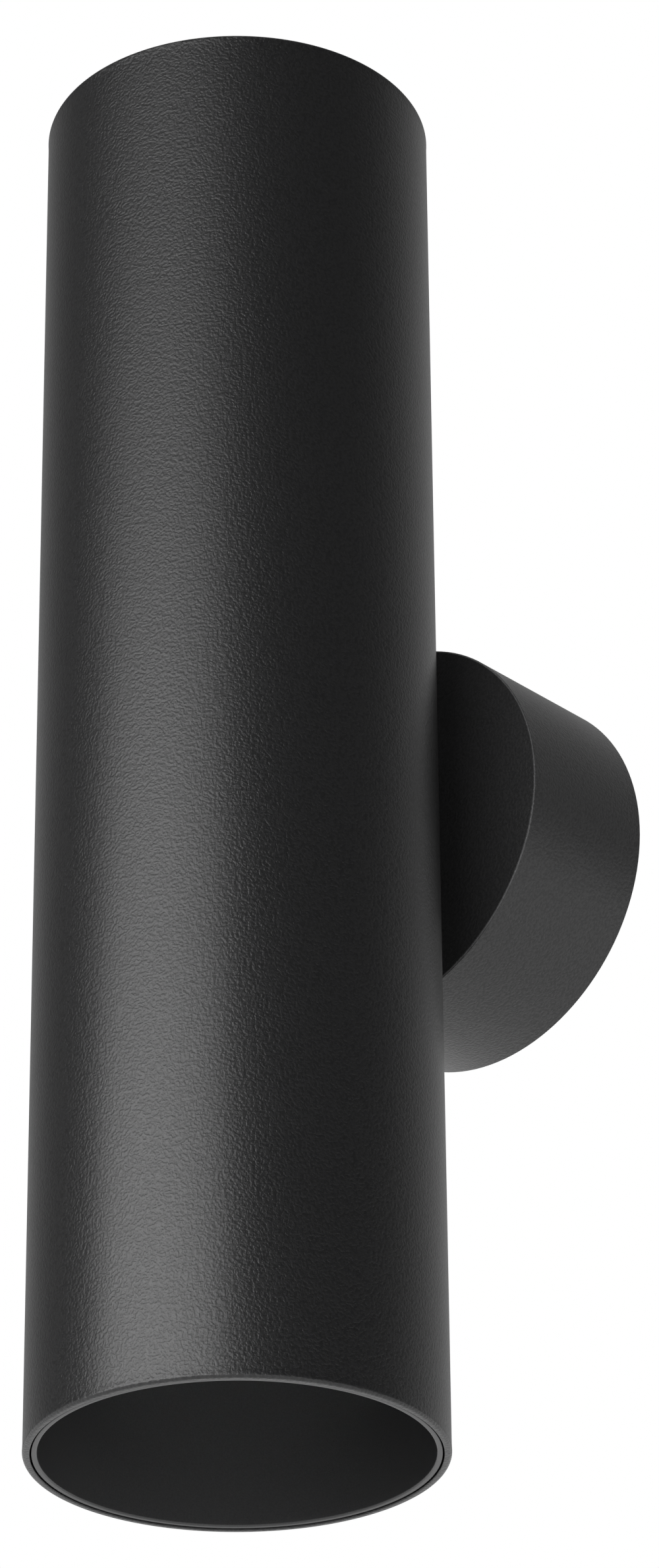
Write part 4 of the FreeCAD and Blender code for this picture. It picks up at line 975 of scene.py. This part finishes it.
class TUBELIGHT_OT_screws(Operator):
    """Plate the small screws and the earth tag, and blacken the grub screws"""

    bl_idname = "tubelight.screws"
    bl_label = "Screws"

    def execute(self, context):
        colours = context.scene.tube_light_colours
        dress(["holder_screws", "block_screws", "terminal_screws", "earth_screw", "earth_tag"],
              plated_steel("screw_zinc", colours))
        dress(["upper_grub_screw", "lower_grub_screw"], black_oxide("black_oxide", colours))
        return {"FINISHED"}


class TUBELIGHT_OT_holders(Operator):
    """Glaze the two lampholders and finish their contacts"""

    bl_idname = "tubelight.holders"
    bl_label = "Lampholders"

    def execute(self, context):
        colours = context.scene.tube_light_colours
        dress(["upper_lampholder", "lower_lampholder"], glazed_ceramic("ceramic", colours))
        dress(["upper_holder_contacts", "lower_holder_contacts"],
              brass("contact_brass", colours))
        return {"FINISHED"}


class TUBELIGHT_OT_lamps(Operator):
    """Draw the lenses, and finish the lamps' shells, boards and pins"""

    bl_idname = "tubelight.lamps"
    bl_label = "Lamps"

    def execute(self, context):
        colours = context.scene.tube_light_colours
        shape = context.scene.tube_light_shape
        white = moulded("lamp_white", colours.white, colours.ceramic, 0.34)
        pane = frosted_lens("lens_frosted", colours)
        pins = brass("pin_brass", colours)
        chip = 0.7 * MM
        for end, towards in (("upper", 1), ("lower", -1)):
            dress([f"{end}_lamp_shell"], white)
            dress([f"{end}_lamp_pins"], pins)
            low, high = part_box(f"{end}_lamp_board")
            face = max(abs(low.z), abs(high.z)) - chip
            board = lamp_board(f"{end}_board_white", colours, face, towards)
            dress([f"{end}_lamp_board"], board)
            points, faces = lens_surface(shape, f"{end}_lamp_lens", towards)
            add_piece(f"{end}_ribbed_lens", points, faces, f"{end}_lamp", pane,
                      f"{end}_lamp_lens")
        return {"FINISHED"}


class TUBELIGHT_OT_wiring(Operator):
    """Finish the terminal block, its barrels and the five leads"""

    bl_idname = "tubelight.wiring"
    bl_label = "Terminal block and leads"

    def execute(self, context):
        colours = context.scene.tube_light_colours
        nylon = moulded("block_nylon", colours.nylon, colours.ceramic, 0.4,
                        {"Subsurface Weight": 0.15, "Subsurface Scale": 1.0 * MM})
        dress(["terminal_block"], nylon)
        dress(["terminal_barrels"], brass("barrel_brass", colours))
        dress(["upper_live_lead", "lower_live_lead"],
              insulation("lead_brown", colours.brown, colours.brass_dull))
        dress(["upper_neutral_lead", "lower_neutral_lead"],
              insulation("lead_blue", colours.blue, colours.zinc_dark))
        dress(["earth_lead"], striped_insulation("lead_green_yellow", colours))
        return {"FINISHED"}


class TUBELIGHT_OT_grommet(Operator):
    """Finish the rubber grommet of the wall plate"""

    bl_idname = "tubelight.grommet"
    bl_label = "Cable grommet"

    def execute(self, context):
        dress(["cable_grommet"], rubber("grommet_rubber", context.scene.tube_light_colours))
        return {"FINISHED"}


PIECE_OPERATORS = (
    TUBELIGHT_OT_studio, TUBELIGHT_OT_tube, TUBELIGHT_OT_base, TUBELIGHT_OT_sleeves,
    TUBELIGHT_OT_saddles, TUBELIGHT_OT_nipple, TUBELIGHT_OT_sheet_steel, TUBELIGHT_OT_screws,
    TUBELIGHT_OT_holders, TUBELIGHT_OT_lamps, TUBELIGHT_OT_wiring, TUBELIGHT_OT_grommet,
)


class TUBELIGHT_PT_panel(Panel):
    """Lists the steps that dress the light, in their order"""

    bl_idname = "TUBELIGHT_PT_panel"
    bl_label = "Tube light"
    bl_space_type = "VIEW_3D"
    bl_region_type = "UI"
    bl_category = "Tube light"

    def draw(self, context):
        for operator in PIECE_OPERATORS:
            self.layout.operator(operator.bl_idname)


SETTINGS = {
    "tube_light_shape": TubeLightShape,
    "tube_light_colours": TubeLightColours,
    "tube_light_studio": TubeLightStudio,
}
CLASSES = (*SETTINGS.values(), *PIECE_OPERATORS, TUBELIGHT_PT_panel)


def register():
    """Adds the classes, and hangs the settings on the scene."""
    for one in CLASSES:
        bpy.utils.register_class(one)
    for name, group in SETTINGS.items():
        setattr(Scene, name, PointerProperty(type=group))


def unregister():
    """Takes the settings and the classes away again."""
    for name in SETTINGS:
        delattr(Scene, name)
    for one in reversed(CLASSES):
        bpy.utils.unregister_class(one)


def main():
    """Registers the classes, then makes the studio and every piece in order."""
    register()
    for operator in PIECE_OPERATORS:
        family, step = operator.bl_idname.split(".")
        getattr(getattr(bpy.ops, family), step)()


if __name__ == "__main__":
    main()
